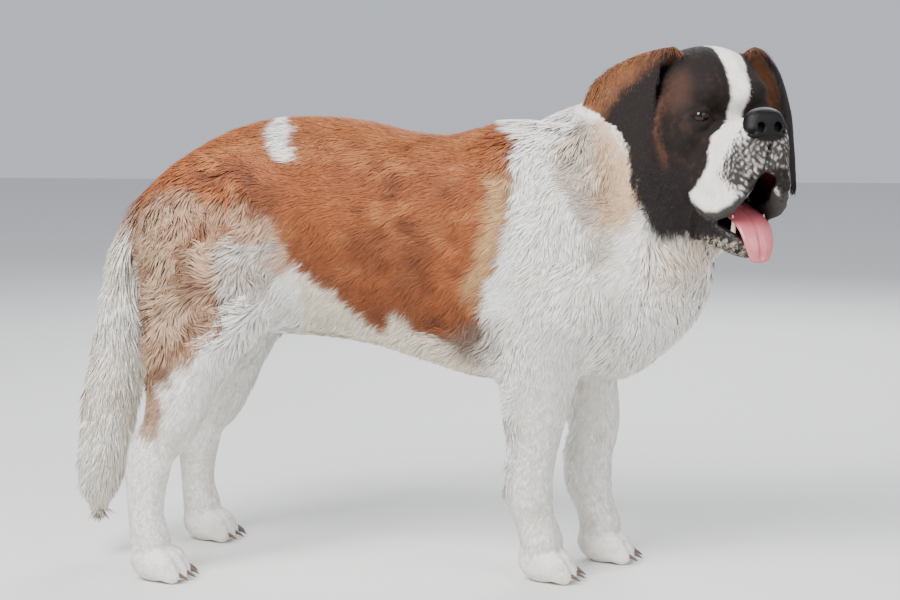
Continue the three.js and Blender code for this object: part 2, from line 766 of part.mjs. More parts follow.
// A claw: a short bent horn that leaves the end of a toe.
const claw = { length: 17, thick: 5.2, sides: 5 };
function clawAt([x, y, z]) {
  const rings = [[-6, 2, 1], [5, 0.5, 0.86], [claw.length - 5, -5, 0.5]];
  const points = [];
  const faces = [];
  const n = claw.sides;
  for (const [ahead, up, share] of rings)
    for (let i = 0; i < n; i++) {
      const turn = (2 * Math.PI * i) / n;
      const across = claw.thick * share;
      points.push([x + ahead, y + 0.8 * across * Math.cos(turn), z + up + across * Math.sin(turn)]);
    }
  const root = points.push([x - 6, y, z + 2]) - 1;
  const tip = points.push([x + claw.length, y, z - 9]) - 1;
  for (let i = 0; i < n; i++) {
    const j = (i + 1) % n;
    faces.push([root, j, i], [tip, 2 * n + i, 2 * n + j]);
    for (let r = 0; r < 2; r++) {
      const [a, b] = [r * n, (r + 1) * n];
      faces.push([a + i, a + j, b + j], [a + i, b + j, b + i]);
    }
  }
  return solid({ points, faces });
}

// Where the surface is parted
const turned = (v) => new THREE.Vector3(...v).transformDirection(headTurn).toArray();
const moved = (v, n, by) => v.map((c, i) => c + n[i] * by);
const back = (v) => v.map((c) => -c);
const neckTop = { point: fromHead([-66, 0, -60]), normal: turned([0.8, 0, 0.6]) };
const neckBase = { point: [262, 0, 800], normal: [0.82, 0, 0.57] };
const legCuts = {
  foreleg: {
    outline: [
      [140, -30], [140, 352], [168, 440], [205, 590], [250, 655], [330, 640],
      [385, 560], [392, 470], [372, 380], [372, -30],
    ],
    inner: { from: [12, 335], to: [118, 650] },
  },
  hindleg: {
    outline: [
      [-560, -30], [-560, 500], [-470, 560], [-420, 640], [-330, 700], [-245, 690],
      [-185, 610], [-150, 500], [-150, -30],
    ],
    inner: { from: [14, 405], to: [100, 690] },
  },
};

// The part of space that a leg takes from the body, widened by a gap on every side.
function legRegion(leg, side, by) {
  const { outline, inner } = legCuts[leg];
  const ahead = standing[leg][side];
  const middle = [0, 1].map((n) => outline.reduce((sum, p) => sum + p[n], 0) / outline.length);
  const wider = outline.map(([x, z]) => {
    const away = Math.hypot(x - middle[0], z - middle[1]);
    const share = 1 + by / away;
    return [middle[0] + (x - middle[0]) * share + ahead * (z < 400 ? 1 : 0.35), middle[1] + (z - middle[1]) * share];
  });
  const [y0, z0] = inner.from;
  const [y1, z1] = inner.to;
  const slab = side === right ? prism(wider, -400, by - y0) : prism(wider, y0 - by, 400);
  const lean = Math.hypot(y1 - y0, z1 - z0);
  const out = [0, (side * (z1 - z0)) / lean, -(y1 - y0) / lean];
  return slab.intersect(beyond(moved([0, side * y0, z0], out, -by), out));
}

const bodySolid = solid(thin(drawSurface(body), 4700, ([, , z]) => (z < 120 ? 6 : 1)));
const headPoint = new THREE.Vector3();
const headInverse = headTurn.clone().invert();
const headMesh = thin(drawSurface(head), 4000, (p) => {
  headPoint.fromArray(p).applyMatrix4(headInverse);
  return headPoint.x > 30 && headPoint.z < 110 ? 8 : 1;
});
const headWhole = solid(headMesh);
const headGrown = solid(grown(headMesh));

const pieces = new Map();
const whole = bodySolid;
pieces.set("torso", whole.intersect(beyond(neckBase.point, back(neckBase.normal))));
pieces.set(
  "neck",
  whole
    .intersect(beyond(moved(neckBase.point, neckBase.normal, gap), neckBase.normal))
    .intersect(beyond(neckTop.point, back(neckTop.normal))),
);
const named = [["right", right], ["left", left]];
for (const [name, side] of named)
  for (const leg of ["foreleg", "hindleg"]) {
    const taken = legRegion(leg, side, 0);
    const room = legRegion(leg, side, gap);
    pieces.set(`${leg}_${name}`, whole.intersect(taken));
    pieces.set("torso", pieces.get("torso").subtract(room));
    pieces.set("neck", pieces.get("neck").subtract(room));
  }
for (const [x, y] of pawPlaces) {
  const leg = `${x > 0 ? "foreleg" : "hindleg"}_${y < 0 ? "right" : "left"}`;
  const claws = toes.map((across) => {
    const tip = x + paw.length / 2 - 10 - 16 * Math.abs(across);
    return clawAt([tip + 13, y + (across * paw.width) / 2, 15]);
  });
  pieces.set(leg, claws.reduce((sum, one) => sum.add(one), pieces.get(leg)));
}

const bodyGrown = solid(grown(meshOf(bodySolid)));
pieces.set("tail", solid(drawn([[limb(tail), 1]], [], 8, 420)).subtract(bodyGrown));

// The head's pieces
const eyeball = (side, radius) =>
  fromGeometry(new THREE.IcosahedronGeometry(radius, 3).translate(...fromHead([eyeAt[0], side * eyeAt[1], eyeAt[2]])));
pieces.set(
  "head",
  named.reduce(
    (sum, [, side]) => sum.subtract(eyeball(side, eyeRadius + gap)),
    headWhole.intersect(beyond(moved(neckTop.point, neckTop.normal, gap), neckTop.normal)),
  ),
);
for (const [name, side] of named) pieces.set(`eye_${name}`, eyeball(side, eyeRadius));
const neckGrown = bodyGrown.intersect(beyond(moved(neckTop.point, neckTop.normal, gap), back(neckTop.normal)));
for (const [name, side] of named)
  pieces.set(`ear_${name}`, solid(earFlap(side)).subtract(headGrown).subtract(neckGrown));
pieces.set("nose", solid(drawn(placed(nosePad), placed(nostrils), 2.4, 520)).subtract(headGrown));
const jawMesh = drawn(placed([...jawBone, ...canines]), placed(tongueBed), 3.4, 640);
pieces.set("jaw", solid(jawMesh).subtract(headGrown).subtract(neckGrown));
pieces.set(
  "tongue",
  solid(drawn(placed(tongueShape), [], 3, 300))
    .subtract(headGrown)
    .subtract(solid(grown(jawMesh)).add(pieces.get("jaw")))
    .subtract(neckGrown),
);

// Colour, roughness and metalness of each piece
const looks = {
  head: [0x4a3222, 0.85],
  nose: [0x17151a, 0.4],
  eye: [0x23140c, 0.15],
  ear: [0x33221a, 0.85],
  jaw: [0xb9ada3, 0.8],
  tongue: [0xc96f76, 0.45],
  neck: [0xcfc3b4, 0.9],
  torso: [0x8f552c, 0.9],
  foreleg: [0xd8cec2, 0.9],
  hindleg: [0xc4a98f, 0.9],
  tail: [0xd6c6b4, 0.9],
};
const order = [
  "torso", "neck", "head", "nose", "eye_right", "eye_left", "ear_right", "ear_left", "jaw", "tongue",
  "foreleg_right", "foreleg_left", "hindleg_right", "hindleg_left", "tail",
];
const made = new Map(order.map((name) => [name, meshOf(largest(pieces.get(name)))]));

// The origin lies on the ground under the middle of the dog's outline.
const low = [Infinity, Infinity, Infinity];
const high = [-Infinity, -Infinity, -Infinity];
for (const { points } of made.values())
  for (const p of points)
    p.forEach((v, n) => {
      low[n] = Math.min(low[n], v);
      high[n] = Math.max(high[n], v);
    });
const middle = [(low[0] + high[0]) / 2, (low[1] + high[1]) / 2, low[2]];

const dog = new THREE.Group();
dog.name = "saint_bernard";
for (const [name, { points, faces }] of made) {
  const [colour, roughness] = looks[name.split("_")[0]];
  const geometry = new THREE.BufferGeometry();
  const placed = points.flatMap((p) => p.map((v, n) => v - middle[n]));
  geometry.setAttribute("position", new THREE.Float32BufferAttribute(placed, 3));
  geometry.setIndex(faces.flat());
  geometry.computeVertexNormals();
  const mesh = new THREE.Mesh(geometry, new THREE.MeshStandardMaterial({ color: colour, roughness, metalness: 0 }));
  mesh.name = name;
  dog.add(mesh);
}
export default dog;
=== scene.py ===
"""A life-size Saint Bernard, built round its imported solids.

The skin, the coat, the eyes, the nose, the tongue, the teeth and the claws are made here. Lengths in the
tables of masses are millimetres, in the same frame as the solids before their origin was set on the ground.
"""

import itertools
import json
import math

import bmesh
import bpy
import numpy as np
from mathutils import Euler, Matrix, Vector
from mathutils.kdtree import KDTree

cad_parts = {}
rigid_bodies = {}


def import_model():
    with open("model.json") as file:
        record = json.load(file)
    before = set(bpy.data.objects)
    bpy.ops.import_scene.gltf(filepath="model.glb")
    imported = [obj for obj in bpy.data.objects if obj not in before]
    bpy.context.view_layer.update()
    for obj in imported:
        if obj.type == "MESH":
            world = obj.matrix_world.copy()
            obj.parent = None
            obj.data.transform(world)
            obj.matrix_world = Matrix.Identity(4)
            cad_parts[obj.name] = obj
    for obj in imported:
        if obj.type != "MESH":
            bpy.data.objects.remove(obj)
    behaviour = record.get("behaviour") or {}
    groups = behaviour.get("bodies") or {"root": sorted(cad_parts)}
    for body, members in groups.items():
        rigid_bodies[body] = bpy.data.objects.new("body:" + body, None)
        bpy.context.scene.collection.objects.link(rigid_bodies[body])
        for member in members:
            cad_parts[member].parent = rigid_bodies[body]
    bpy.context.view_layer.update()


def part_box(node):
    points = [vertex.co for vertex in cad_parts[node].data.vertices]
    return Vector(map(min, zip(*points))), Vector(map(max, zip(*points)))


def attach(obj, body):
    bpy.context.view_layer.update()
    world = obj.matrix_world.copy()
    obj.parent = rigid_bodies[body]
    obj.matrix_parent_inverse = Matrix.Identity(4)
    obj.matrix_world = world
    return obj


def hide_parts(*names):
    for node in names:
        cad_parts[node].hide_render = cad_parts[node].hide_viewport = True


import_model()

bl_info = {
    "name": "Saint Bernard",
    "version": (1, 0, 0),
    "blender": (4, 5, 0),
    "location": "View3D > Sidebar > Saint Bernard",
    "description": "Builds a long-coated dog of life size round its solids",
    "category": "Add Mesh",
}

RIGHT = -1
LEFT = 1
SIDES = (RIGHT, LEFT)

# How the head is carried, and how far each left leg stands ahead of the right one.
HEAD_AT = (529, -60, 814)
HEAD_YAW = -61
HEAD_PITCH = 10
AHEAD = {"foreleg": {RIGHT: 0, LEFT: 95}, "hindleg": {RIGHT: 0, LEFT: 14}}
EYE_AT = (84, 60, -26)
EYE_RADIUS = 14

# Stations are (x, y, z, half the depth, half the width).
TRUNK = [
    (-398, 0, 588, 72, 70),
    (-350, 0, 592, 118, 102),
    (-282, 0, 598, 166, 122),
    (-200, 0, 606, 193, 124),
    (-100, 0, 603, 196, 130),
    (0, 0, 585, 193, 144),
    (100, 0, 568, 204, 157),
    (190, 0, 561, 222, 162),
    (270, 0, 560, 214, 156),
    (345, 0, 548, 176, 138),
    (398, 0, 530, 122, 108),
]
NECK = [(255, 0, 645, 136, 118), (335, 0, 688, 134, 122), (410, -8, 728, 122, 116), (470, -20, 772, 98, 100)]
BIB = [(496, -62, 655, 78, 88), (478, -36, 585, 80, 104), (436, -12, 500, 80, 112), (390, 0, 436, 70, 98)]
SHOULDER = [(225, 92, 700, 70, 52), (275, 112, 600, 88, 60), (300, 118, 510, 84, 58)]
FORELEG = [
    (290, 112, 470, 76, 58),
    (262, 104, 395, 70, 56),
    (250, 94, 325, 62, 50),
    (243, 84, 255, 50, 44),
    (236, 79, 200, 46, 42),
    (235, 77, 150, 45, 41),
    (245, 76, 110, 38, 38),
    (257, 76, 70, 40, 42),
]
HINDLEG = [
    (-318, 88, 610, 112, 66),
    (-318, 98, 555, 121, 72),
    (-320, 108, 495, 110, 70),
    (-336, 118, 435, 92, 63),
    (-354, 128, 370, 73, 56),
    (-366, 136, 315, 61, 50),
    (-382, 143, 268, 50, 45),
    (-409, 148, 232, 44, 41),
    (-420, 150, 192, 41, 39),
    (-424, 151, 150, 36, 36),
    (-424, 151, 110, 33, 35),
    (-418, 151, 72, 37, 39),
]
TAIL = [
    (-380, 0, 676, 36, 40),
    (-432, 0, 638, 38, 42),
    (-478, -4, 565, 40, 42),
    (-494, -8, 480, 44, 44),
    (-506, -12, 400, 48, 46),
    (-520, -16, 310, 50, 48),
    (-538, -20, 200, 46, 46),
    (-546, -22, 135, 30, 32),
    (-546, -22, 100, 12, 14),
]
TOES = (-0.75, -0.26, 0.26, 0.75)
PAW = {"length": 106, "width": 92, "toe_width": 14.5}
PAWS = [(267 + AHEAD["foreleg"][s], 76 * s) for s in SIDES]
PAWS += [(-402 + AHEAD["hindleg"][s], 151 * s) for s in SIDES]

# The ear's rows run from its front edge to its back edge, in the head's frame, from root to tip.
EAR_ROWS = [
    ((36, 56, 82), (-56, 72, 52)),
    ((36, 78, 95), (-92, 124, 78)),
    ((28, 100, 62), (-116, 160, 46)),
    ((16, 108, 0), (-106, 163, -18)),
    ((4, 110, -62), (-72, 146, -82)),
    ((-10, 115, -114), (-48, 133, -124)),
    ((-22, 121, -142), (-34, 125, -145)),
]

# How far each ear hangs forwards and away from the cheek, and how much of that each of its rows takes.
EAR_SWING = {RIGHT: (0, 0), LEFT: (14, 26)}
EAR_HANG = (0, 0.2, 0.6, 1, 1.1, 1.1, 1.1)

# The flap's thickness, and how far its middle bulges and which way.
EAR_THICK = 11
EAR_BULGE = 16
EAR_OUTWARDS = (0.45, 0.86, 0.25)

# What grows where: the coat's depth, and each tuft's length, width and number to a square centimetre.
GROWTH = {
    "trunk": (6.0, 31, 3.7, 11),
    "neck": (12, 58, 4.2, 8.6),
    "bib": (14, 64, 4.4, 8.0),
    "shoulder": (7.5, 36, 3.9, 9.8),
    "foreleg": (3.6, 17, 3.0, 14),
    "hindleg": (5.0, 22, 3.6, 10),
    "paw": (2.4, 9, 2.6, 15),
    "tail": (11, 78, 4.4, 9.5),
    "skull": (2.6, 12, 2.5, 15),
    "muzzle": (1.1, 6.5, 1.8, 18),
    "flews": (1.2, 7, 2.0, 18),
    "lids": (0.5, 4, 1.5, 10),
    "ear": (1.7, 17, 2.7, 13),
    "jaw": (2.2, 11, 2.7, 13),
    "dewlap": (8, 34, 4.5, 8),
    "mouth": (0, 1, 1, 0),
}
LABELS = list(GROWTH)

# Which way the hair points on each mass, beside the trunk and the head.
LIE = {
    ("neck", "dewlap"): (-0.35, 0, -1.0),
    ("bib",): (0.05, 0, -1.0),
    ("shoulder", "hindleg"): (-0.45, 0, -0.9),
    ("foreleg",): (-0.25, 0, -1.0),
    ("paw",): (0.7, 0, -0.5),
    ("tail",): (-0.16, 0, -1.0),
}

# The lines on which the body's distances are worked out: their spacing, and where they lie closer together.
STEP = {"body": 7.6, "across": 5.6, "head": 3.5, "paws": 4.6}
HEAD_SPANS = ((372, 700), (-262, 138), (560, 930))
PAW_SPAN = (-26, 100)

# The distance where there is no flesh yet, the room left round a mass, and how coarse the copy to unwrap is.
FAR = 1e3
MARGIN = 12
UNWRAP_SCALE = 2.6

# The most triangles of the skin, and of a piece of the coat.
SKIN_LIMIT = 188000
COAT_LIMIT = 185000

# The tongue from its root to its tip, and a lower canine tooth, in the head's frame.
TONGUE = [
    (40, 0, -160, 12, 30),
    (84, 0, -184, 10, 32),
    (112, 0, -200, 8, 32),
    (130, 0, -220, 7, 30),
    (138, 0, -246, 7, 26),
    (137, 0, -268, 6, 18),
]
TOOTH = [(104, 27, -226, 6, 5), (110, 28, -208, 4, 3.5), (111, 29, -192, 1.4, 1.4)]

# An eyeball's rings, and how far from the middle of the iris its parts end, as angles in radians.
EYE_RINGS = 40
EYE_AROUND = 56
PUPIL_END = 0.3
IRIS_END = 0.74
RIM_END = 0.84

# A claw: its rings of points, its length, half its thickness at the root, and how high the root lies.
CLAW = {"rings": 7, "around": 10, "length": 23, "thick": 5.0, "high": 17}

# The stage: each light's name, place in metres, share of the key light's power and size, then the camera.
FLOOR_HALF = 14.0
LIGHTS = (
    ("key", (-1.6, -3.0, 3.6), 1.0, 2.2),
    ("fill", (3.2, -2.4, 2.2), 0.22, 3.0),
    ("rim", (0.5, 3.4, 3.0), 0.35, 3.0),
)
LIT_POINT = (0.1, 0, 0.5)
SKY = {"Color": (0.86, 0.9, 1.0, 1), "Strength": 0.7}
CAMERA_AT = (0.4929, -3.2945, 0.85)
CAMERA_TURN = (83.6, 0, 7)
CAMERA_LENS = 75.92

# Edges between the markings: places along each edge, and where the edge lies at each of them.
EDGES = {
    # belly: height over x
    "belly": (
        [-200, -156, -122, -85, -52, -4, 8, 14, 36, 70, 125, 172],
        [575, 548, 523, 500, 462, 438, 446, 480, 460, 430, 414, 398],
    ),
    # shoulder: x over height
    "shoulder": (
        [400, 489, 529, 554, 593, 644, 704, 749, 771, 787],
        [158, 165, 176, 190, 201, 212, 211, 211, 224, 196],
    ),
    # thigh and white of the hindleg: height over x
    "thigh": (
        [-470, -430, -387, -339, -311, -271, -253, -232, -187, -170, -156],
        [640, 672, 703, 698, 685, 676, 688, 659, 634, 591, 548],
    ),
    "white leg": (
        [-440, -404, -369, -358, -325, -290, -260, -225, -150],
        [322, 346, 356, 384, 401, 434, 463, 500, 560],
    ),
    # dark patch on the neck, its middle and half its width, and the front of the golden one: x over height
    "neck middle": ([600, 632, 681, 722, 785, 805], [356, 350, 331, 317, 322, 328]),
    "neck half": ([600, 632, 681, 722, 785, 805], [4, 15, 24, 32, 20, 2]),
    "neck gold": ([600, 628, 654, 704, 746, 793], [392, 410, 424, 414, 398, 362]),
    # in the head's frame, how far forward over how far down, or down over forward for the lip
    "mouth corner": ([0, 40, 70, 110, 130, 200, 220], [-92, -88, -76, -42, -20, -8, 0]),
    "muzzle back": ([15, 40, 53, 60, 86, 103, 123, 139, 150], [108, 124, 124, 105, 98, 101, 90, 68, 48]),
    "muzzle front": (
        [50, 57, 72, 90, 109, 122, 135, 154, 166],
        [190, 178, 171, 152, 132, 126, 128, 152, 160],
    ),
    "lip": ([30, 46, 83, 119, 149, 165, 177, 185], [-152, -164, -184, -189, -181, -167, -147, -128]),
    # the blaze, its middle and half its width over height
    "blaze middle": ([-20, 40, 85], [11, 13, 20]),
    "blaze half": ([-20, 40, 85], [15, 16, 24]),
}

HEAD_TURN = Matrix.Translation(Vector(HEAD_AT)) @ (
    Matrix.Rotation(math.radians(HEAD_YAW), 4, "Z") @ Matrix.Rotation(math.radians(-HEAD_PITCH), 4, "Y")
)
HEAD_BACK = HEAD_TURN.inverted()
HEAD_MATRIX = np.array(HEAD_TURN)
HEAD_INVERSE = np.array(HEAD_BACK)


def from_head(points):
    """Points in the head's frame, placed where the head is."""
    points = np.asarray(points, float)
    return points @ HEAD_MATRIX[:3, :3].T + HEAD_MATRIX[:3, 3]


def to_head(points):
    """Points of the dog, seen from the head's own frame."""
    points = np.asarray(points, float)
    return points @ HEAD_INVERSE[:3, :3].T + HEAD_INVERSE[:3, 3]


def origin_shift():
    """How far the solids were moved when their origin was set on the ground, in millimetres."""
    low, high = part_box("eye_right")
    centre = (np.array(low) + np.array(high)) * 500
    return from_head([EYE_AT[0], -EYE_AT[1], EYE_AT[2]]) - centre


SHIFT = origin_shift()


# Fields of distance


def through_stations(stations, steps=4):
    """A smooth line through the stations, with steps between each two of them."""
    s = np.array(stations, float)
    line = []
    for i in range(len(s) - 1):
        a, b, c, d = s[max(i - 1, 0)], s[i], s[i + 1], s[min(i + 2, len(s) - 1)]
        for k in range(steps):
            t = k / steps
            line.append(b + 0.5 * t * (c - a + t * (2 * a - 5 * b + 4 * c - d + t * (3 * (b - c) + d - a))))
    line.append(s[-1])
    return np.array(line)


class Clay:
    """Distances on a grid whose lines may lie closer together in some places than in others."""

    def __init__(self, lines):
        self.lines = [np.asarray(line, np.float32) for line in lines]
        shape = [len(line) for line in self.lines]
        self.value = np.full(shape, FAR, np.float32)
        self.owner = np.zeros(shape, np.uint8)

    def window(self, low, high):
        """The part of the grid between two corners."""
        spans = []
        for line, a, b in zip(self.lines, low, high):
            spans.append(slice(int(np.searchsorted(line, a)), int(np.searchsorted(line, b))))
        return tuple(spans)

    def grid(self, window, head=False):
        """The places in a part of the grid, in the head's frame where head is set."""
        x, y, z = (line[span] for line, span in zip(self.lines, window))
        x, y, z = x[:, None, None], y[None, :, None], z[None, None, :]
        if head:
            m = HEAD_INVERSE
            x, y, z = (m[n, 0] * x + m[n, 1] * y + m[n, 2] * z + m[n, 3] for n in range(3))
        return x, y, z

    def blend(self, window, field, soft, label, carve=False):
        """Joins a field of distances to the clay, or cuts it out, with a soft edge between the two."""
        old = self.value[window]
        if carve:
            h = np.maximum(soft - np.abs(-old - field), 0) / soft
            new = -(np.minimum(-old, field) - h * h * soft / 4)
            mine = field < -old - 0.8
        else:
            h = np.maximum(soft - np.abs(old - field), 0) / soft
            new = np.minimum(old, field) - h * h * soft / 4
            mine = field < old
        self.value[window] = new
        owner = self.owner[window]
        owner[mine] = LABELS.index(label)

    def limb(self, stations, soft, label, power=2.0, steps=4, head=False, carve=False):
        """Adds or carves a limb: a line of oval sections, deep in its bend and wide across it."""
        line = through_stations(stations, steps)
        ends = from_head(line[:, :3]) if head else line[:, :3]
        reach = line[:, 3:5].max() + soft + MARGIN
        whole = self.window(ends.min(0) - reach, ends.max(0) + reach)
        shape = [span.stop - span.start for span in whole]
        if min(shape) <= 0:
            return
        best = np.full(shape, FAR, np.float32)
        for i in range(len(line) - 1):
            p, q = line[i], line[i + 1]
            near = max(*p[3:5], *q[3:5]) + soft + MARGIN
            pair = ends[i : i + 2]
            part = self.window(pair.min(0) - near, pair.max(0) + near)
            inner = tuple(slice(s.start - w.start, s.stop - w.start) for s, w in zip(part, whole))
            x, y, z = self.grid(part, head)
            step = q - p
            dx, dy, dz = (float(v) for v in step[:3])
            px, py, pz = (float(v) for v in p[:3])
            t = ((x - px) * dx + (y - py) * dy + (z - pz) * dz) / (dx * dx + dy * dy + dz * dz)
            t = np.clip(t, 0, 1)
            deep = p[3] + step[3] * t
            wide = p[4] + step[4] * t
            across = np.abs(y - py - dy * t) / wide
            rest = np.sqrt((x - px - dx * t) ** 2 + (z - pz - dz * t) ** 2) / deep
            if power == 2:
                r = np.sqrt(across**2 + rest**2)
            else:
                r = (across**power + rest**power) ** (1 / power)
            np.minimum(best[inner], (r - 1) * np.minimum(deep, wide), out=best[inner], casting="unsafe")
        self.blend(whole, best, soft, label, carve)

    def egg(self, centre, radii, soft, label, tilt=0.0, head=False, carve=False):
        """Adds or carves an egg with three radii, turned about its own y."""
        middle = from_head(centre) if head else np.array(centre, float)
        reach = max(radii) + soft + MARGIN
        window = self.window(middle - reach, middle + reach)
        if min(span.stop - span.start for span in window) <= 0:
            return
        x, y, z = self.grid(window, head)
        c, s = math.cos(math.radians(tilt)), math.sin(math.radians(tilt))
        u, v, w = x - centre[0], y - centre[1], z - centre[2]
        a, b, d = (u * c + w * s) / radii[0], v / radii[1], (w * c - u * s) / radii[2]
        r = np.sqrt(a * a + b * b + d * d)
        steep = np.sqrt((a / radii[0]) ** 2 + (b / radii[1]) ** 2 + (d / radii[2]) ** 2)
        field = np.where(r == 0, -min(radii), r * (r - 1) / np.maximum(steep, 1e-9))
        self.blend(window, field.astype(np.float32), soft, label, carve)

    def cloud(self, points, thick, soft, label):
        """Adds a sheet given by many points that lie in the middle of it."""
        reach = thick + soft + 10
        window = self.window(points.min(0) - reach, points.max(0) + reach)
        tree = KDTree(len(points))
        for i, p in enumerate(points):
            tree.insert(p, i)
        tree.balance()
        x, y, z = np.broadcast_arrays(*self.grid(window))
        places = np.stack([x, y, z], -1).reshape(-1, 3)
        near = np.full(len(places), FAR, np.float32)
        coarse = points[np.random.default_rng(1).permutation(len(points))[:150]]
        rough = np.full(len(places), 1e9, np.float32)
        for c in coarse:
            rough = np.minimum(rough, ((places - c) ** 2).sum(1).astype(np.float32))
        for i in np.nonzero(rough < (reach + 34) ** 2)[0]:
            near[i] = tree.find(places[i])[2]
        self.blend(window, (near - thick).reshape(x.shape), soft, label)

    def join_diagonals(self):
        """Corners that touch only across a diagonal are joined, so that the surface never pinches."""
        v = self.value
        for _ in range(12):
            inside = v < 0
            changed = 0
            for a, b in ((0, 1), (0, 2), (1, 2)):

                def shifted(da, db):
                    cut = [slice(None)] * 3
                    cut[a] = slice(da, v.shape[a] - 1 + da)
                    cut[b] = slice(db, v.shape[b] - 1 + db)
                    return tuple(cut)

                i00, i01, i10, i11 = (inside[shifted(*d)] for d in ((0, 0), (0, 1), (1, 0), (1, 1)))
                bad = (i00 == i11) & (i01 == i10) & (i00 != i01)
                changed += int(bad.sum())
                for d in ((0, 0), (0, 1), (1, 0), (1, 1)):
                    part = v[shifted(*d)]
                    part[bad] = np.minimum(part[bad], -0.05)
            if not changed:
                return

    def surface(self):
        """The closed surface where the distances are nought, as points, quads and each point's owner."""
        for axis in range(3):
            for end in (slice(0, 2), slice(-2, None)):
                cut = [slice(None)] * 3
                cut[axis] = end
                self.value[tuple(cut)] = np.maximum(self.value[tuple(cut)], 1.0)
        self.join_diagonals()
        v = self.value
        nx, ny, nz = v.shape
        inside = v < 0
        corners = [(a, b, c) for a in (0, 1) for b in (0, 1) for c in (0, 1)]

        def corner(grid, d):
            return grid[d[0] : nx - 1 + d[0], d[1] : ny - 1 + d[1], d[2] : nz - 1 + d[2]]

        count = sum(corner(inside, d).astype(np.uint8) for d in corners)
        cells = np.argwhere((count > 0) & (count < 8))
        number = np.full((nx - 1, ny - 1, nz - 1), -1, np.int32)
        number[tuple(cells.T)] = np.arange(len(cells))
        total = np.zeros((len(cells), 3))
        crossings = np.zeros(len(cells))
        place = [line.astype(float) for line in self.lines]

        def at(d):
            return tuple((cells + np.array(d)).T)

        for d in corners:
            for axis in range(3):
                if d[axis]:
                    continue
                e = list(d)
                e[axis] = 1
                va, vb = v[at(d)].astype(float), v[at(e)].astype(float)
                cross = (va < 0) != (vb < 0)
                t = np.where(cross, va / np.where(va == vb, 1, va - vb), 0)
                for n in range(3):
                    pa = place[n][cells[:, n] + d[n]]
                    pb = place[n][cells[:, n] + e[n]]
                    total[:, n] += np.where(cross, pa + t * (pb - pa), 0)
                crossings += cross
        points = total / crossings[:, None]
        owners = self.owner[tuple((cells + 1).T)]
        quads = []
        for axis in range(3):
            u, w = (axis + 1) % 3, (axis + 2) % 3
            cut_a = [slice(1, -1)] * 3
            cut_b = [slice(1, -1)] * 3
            cut_b[axis] = slice(2, None)
            a = inside[tuple(cut_a)]
            b = inside[tuple(cut_b)]
            for here in (True, False):
                n = np.argwhere((a != b) & (a == here)) + 1
                du, dw = np.zeros(3, int), np.zeros(3, int)
                du[u], dw[w] = 1, 1
                ring = [number[tuple(m.T)] for m in (n, n - du, n - du - dw, n - dw)]
                if not here:
                    ring.reverse()
                quads.append(np.stack(ring, 1))
        return points, np.concatenate(quads), owners


def graded(low, high, coarse, fine):
    """Grid lines from low to high, coarse apart, and closer together inside each fine span."""
    lines = [low]
    while lines[-1] < high:
        step = coarse
        for a, b, size in fine:
            if a - 0.5 * coarse < lines[-1] < b:
                step = min(step, size)
        lines.append(lines[-1] + step)
    return np.array(lines)


def mirrored(stations, side, ahead=0.0):
    """The stations on one side of the dog, moved ahead."""
    return [(s[0] + ahead, s[1] * side, *s[2:]) for s in stations]


def ear_points(side, spacing=4.0):
    """Points all over the middle of an ear."""
    forwards, outwards = EAR_SWING[side]
    hung = []
    for (front, back), share in zip(EAR_ROWS, EAR_HANG):
        moved = [(p[0] + forwards * share, p[1] + outwards * share, p[2]) for p in (front, back)]
        hung.append(moved[0] + moved[1])
    rows = through_stations(hung, 10)
    spread = []
    for row in rows:
        front, back = row[:3], row[3:]
        count = max(2, int(np.linalg.norm(back - front) / spacing))
        t = np.linspace(0.0, 1.0, count + 1)[:, None]
        bulge = EAR_BULGE * 4 * t * (1 - t)
        spread.append(front + (back - front) * t + np.array(EAR_OUTWARDS) * bulge)
    points = np.concatenate(spread)
    points[:, 1] *= side
    return from_head(points)


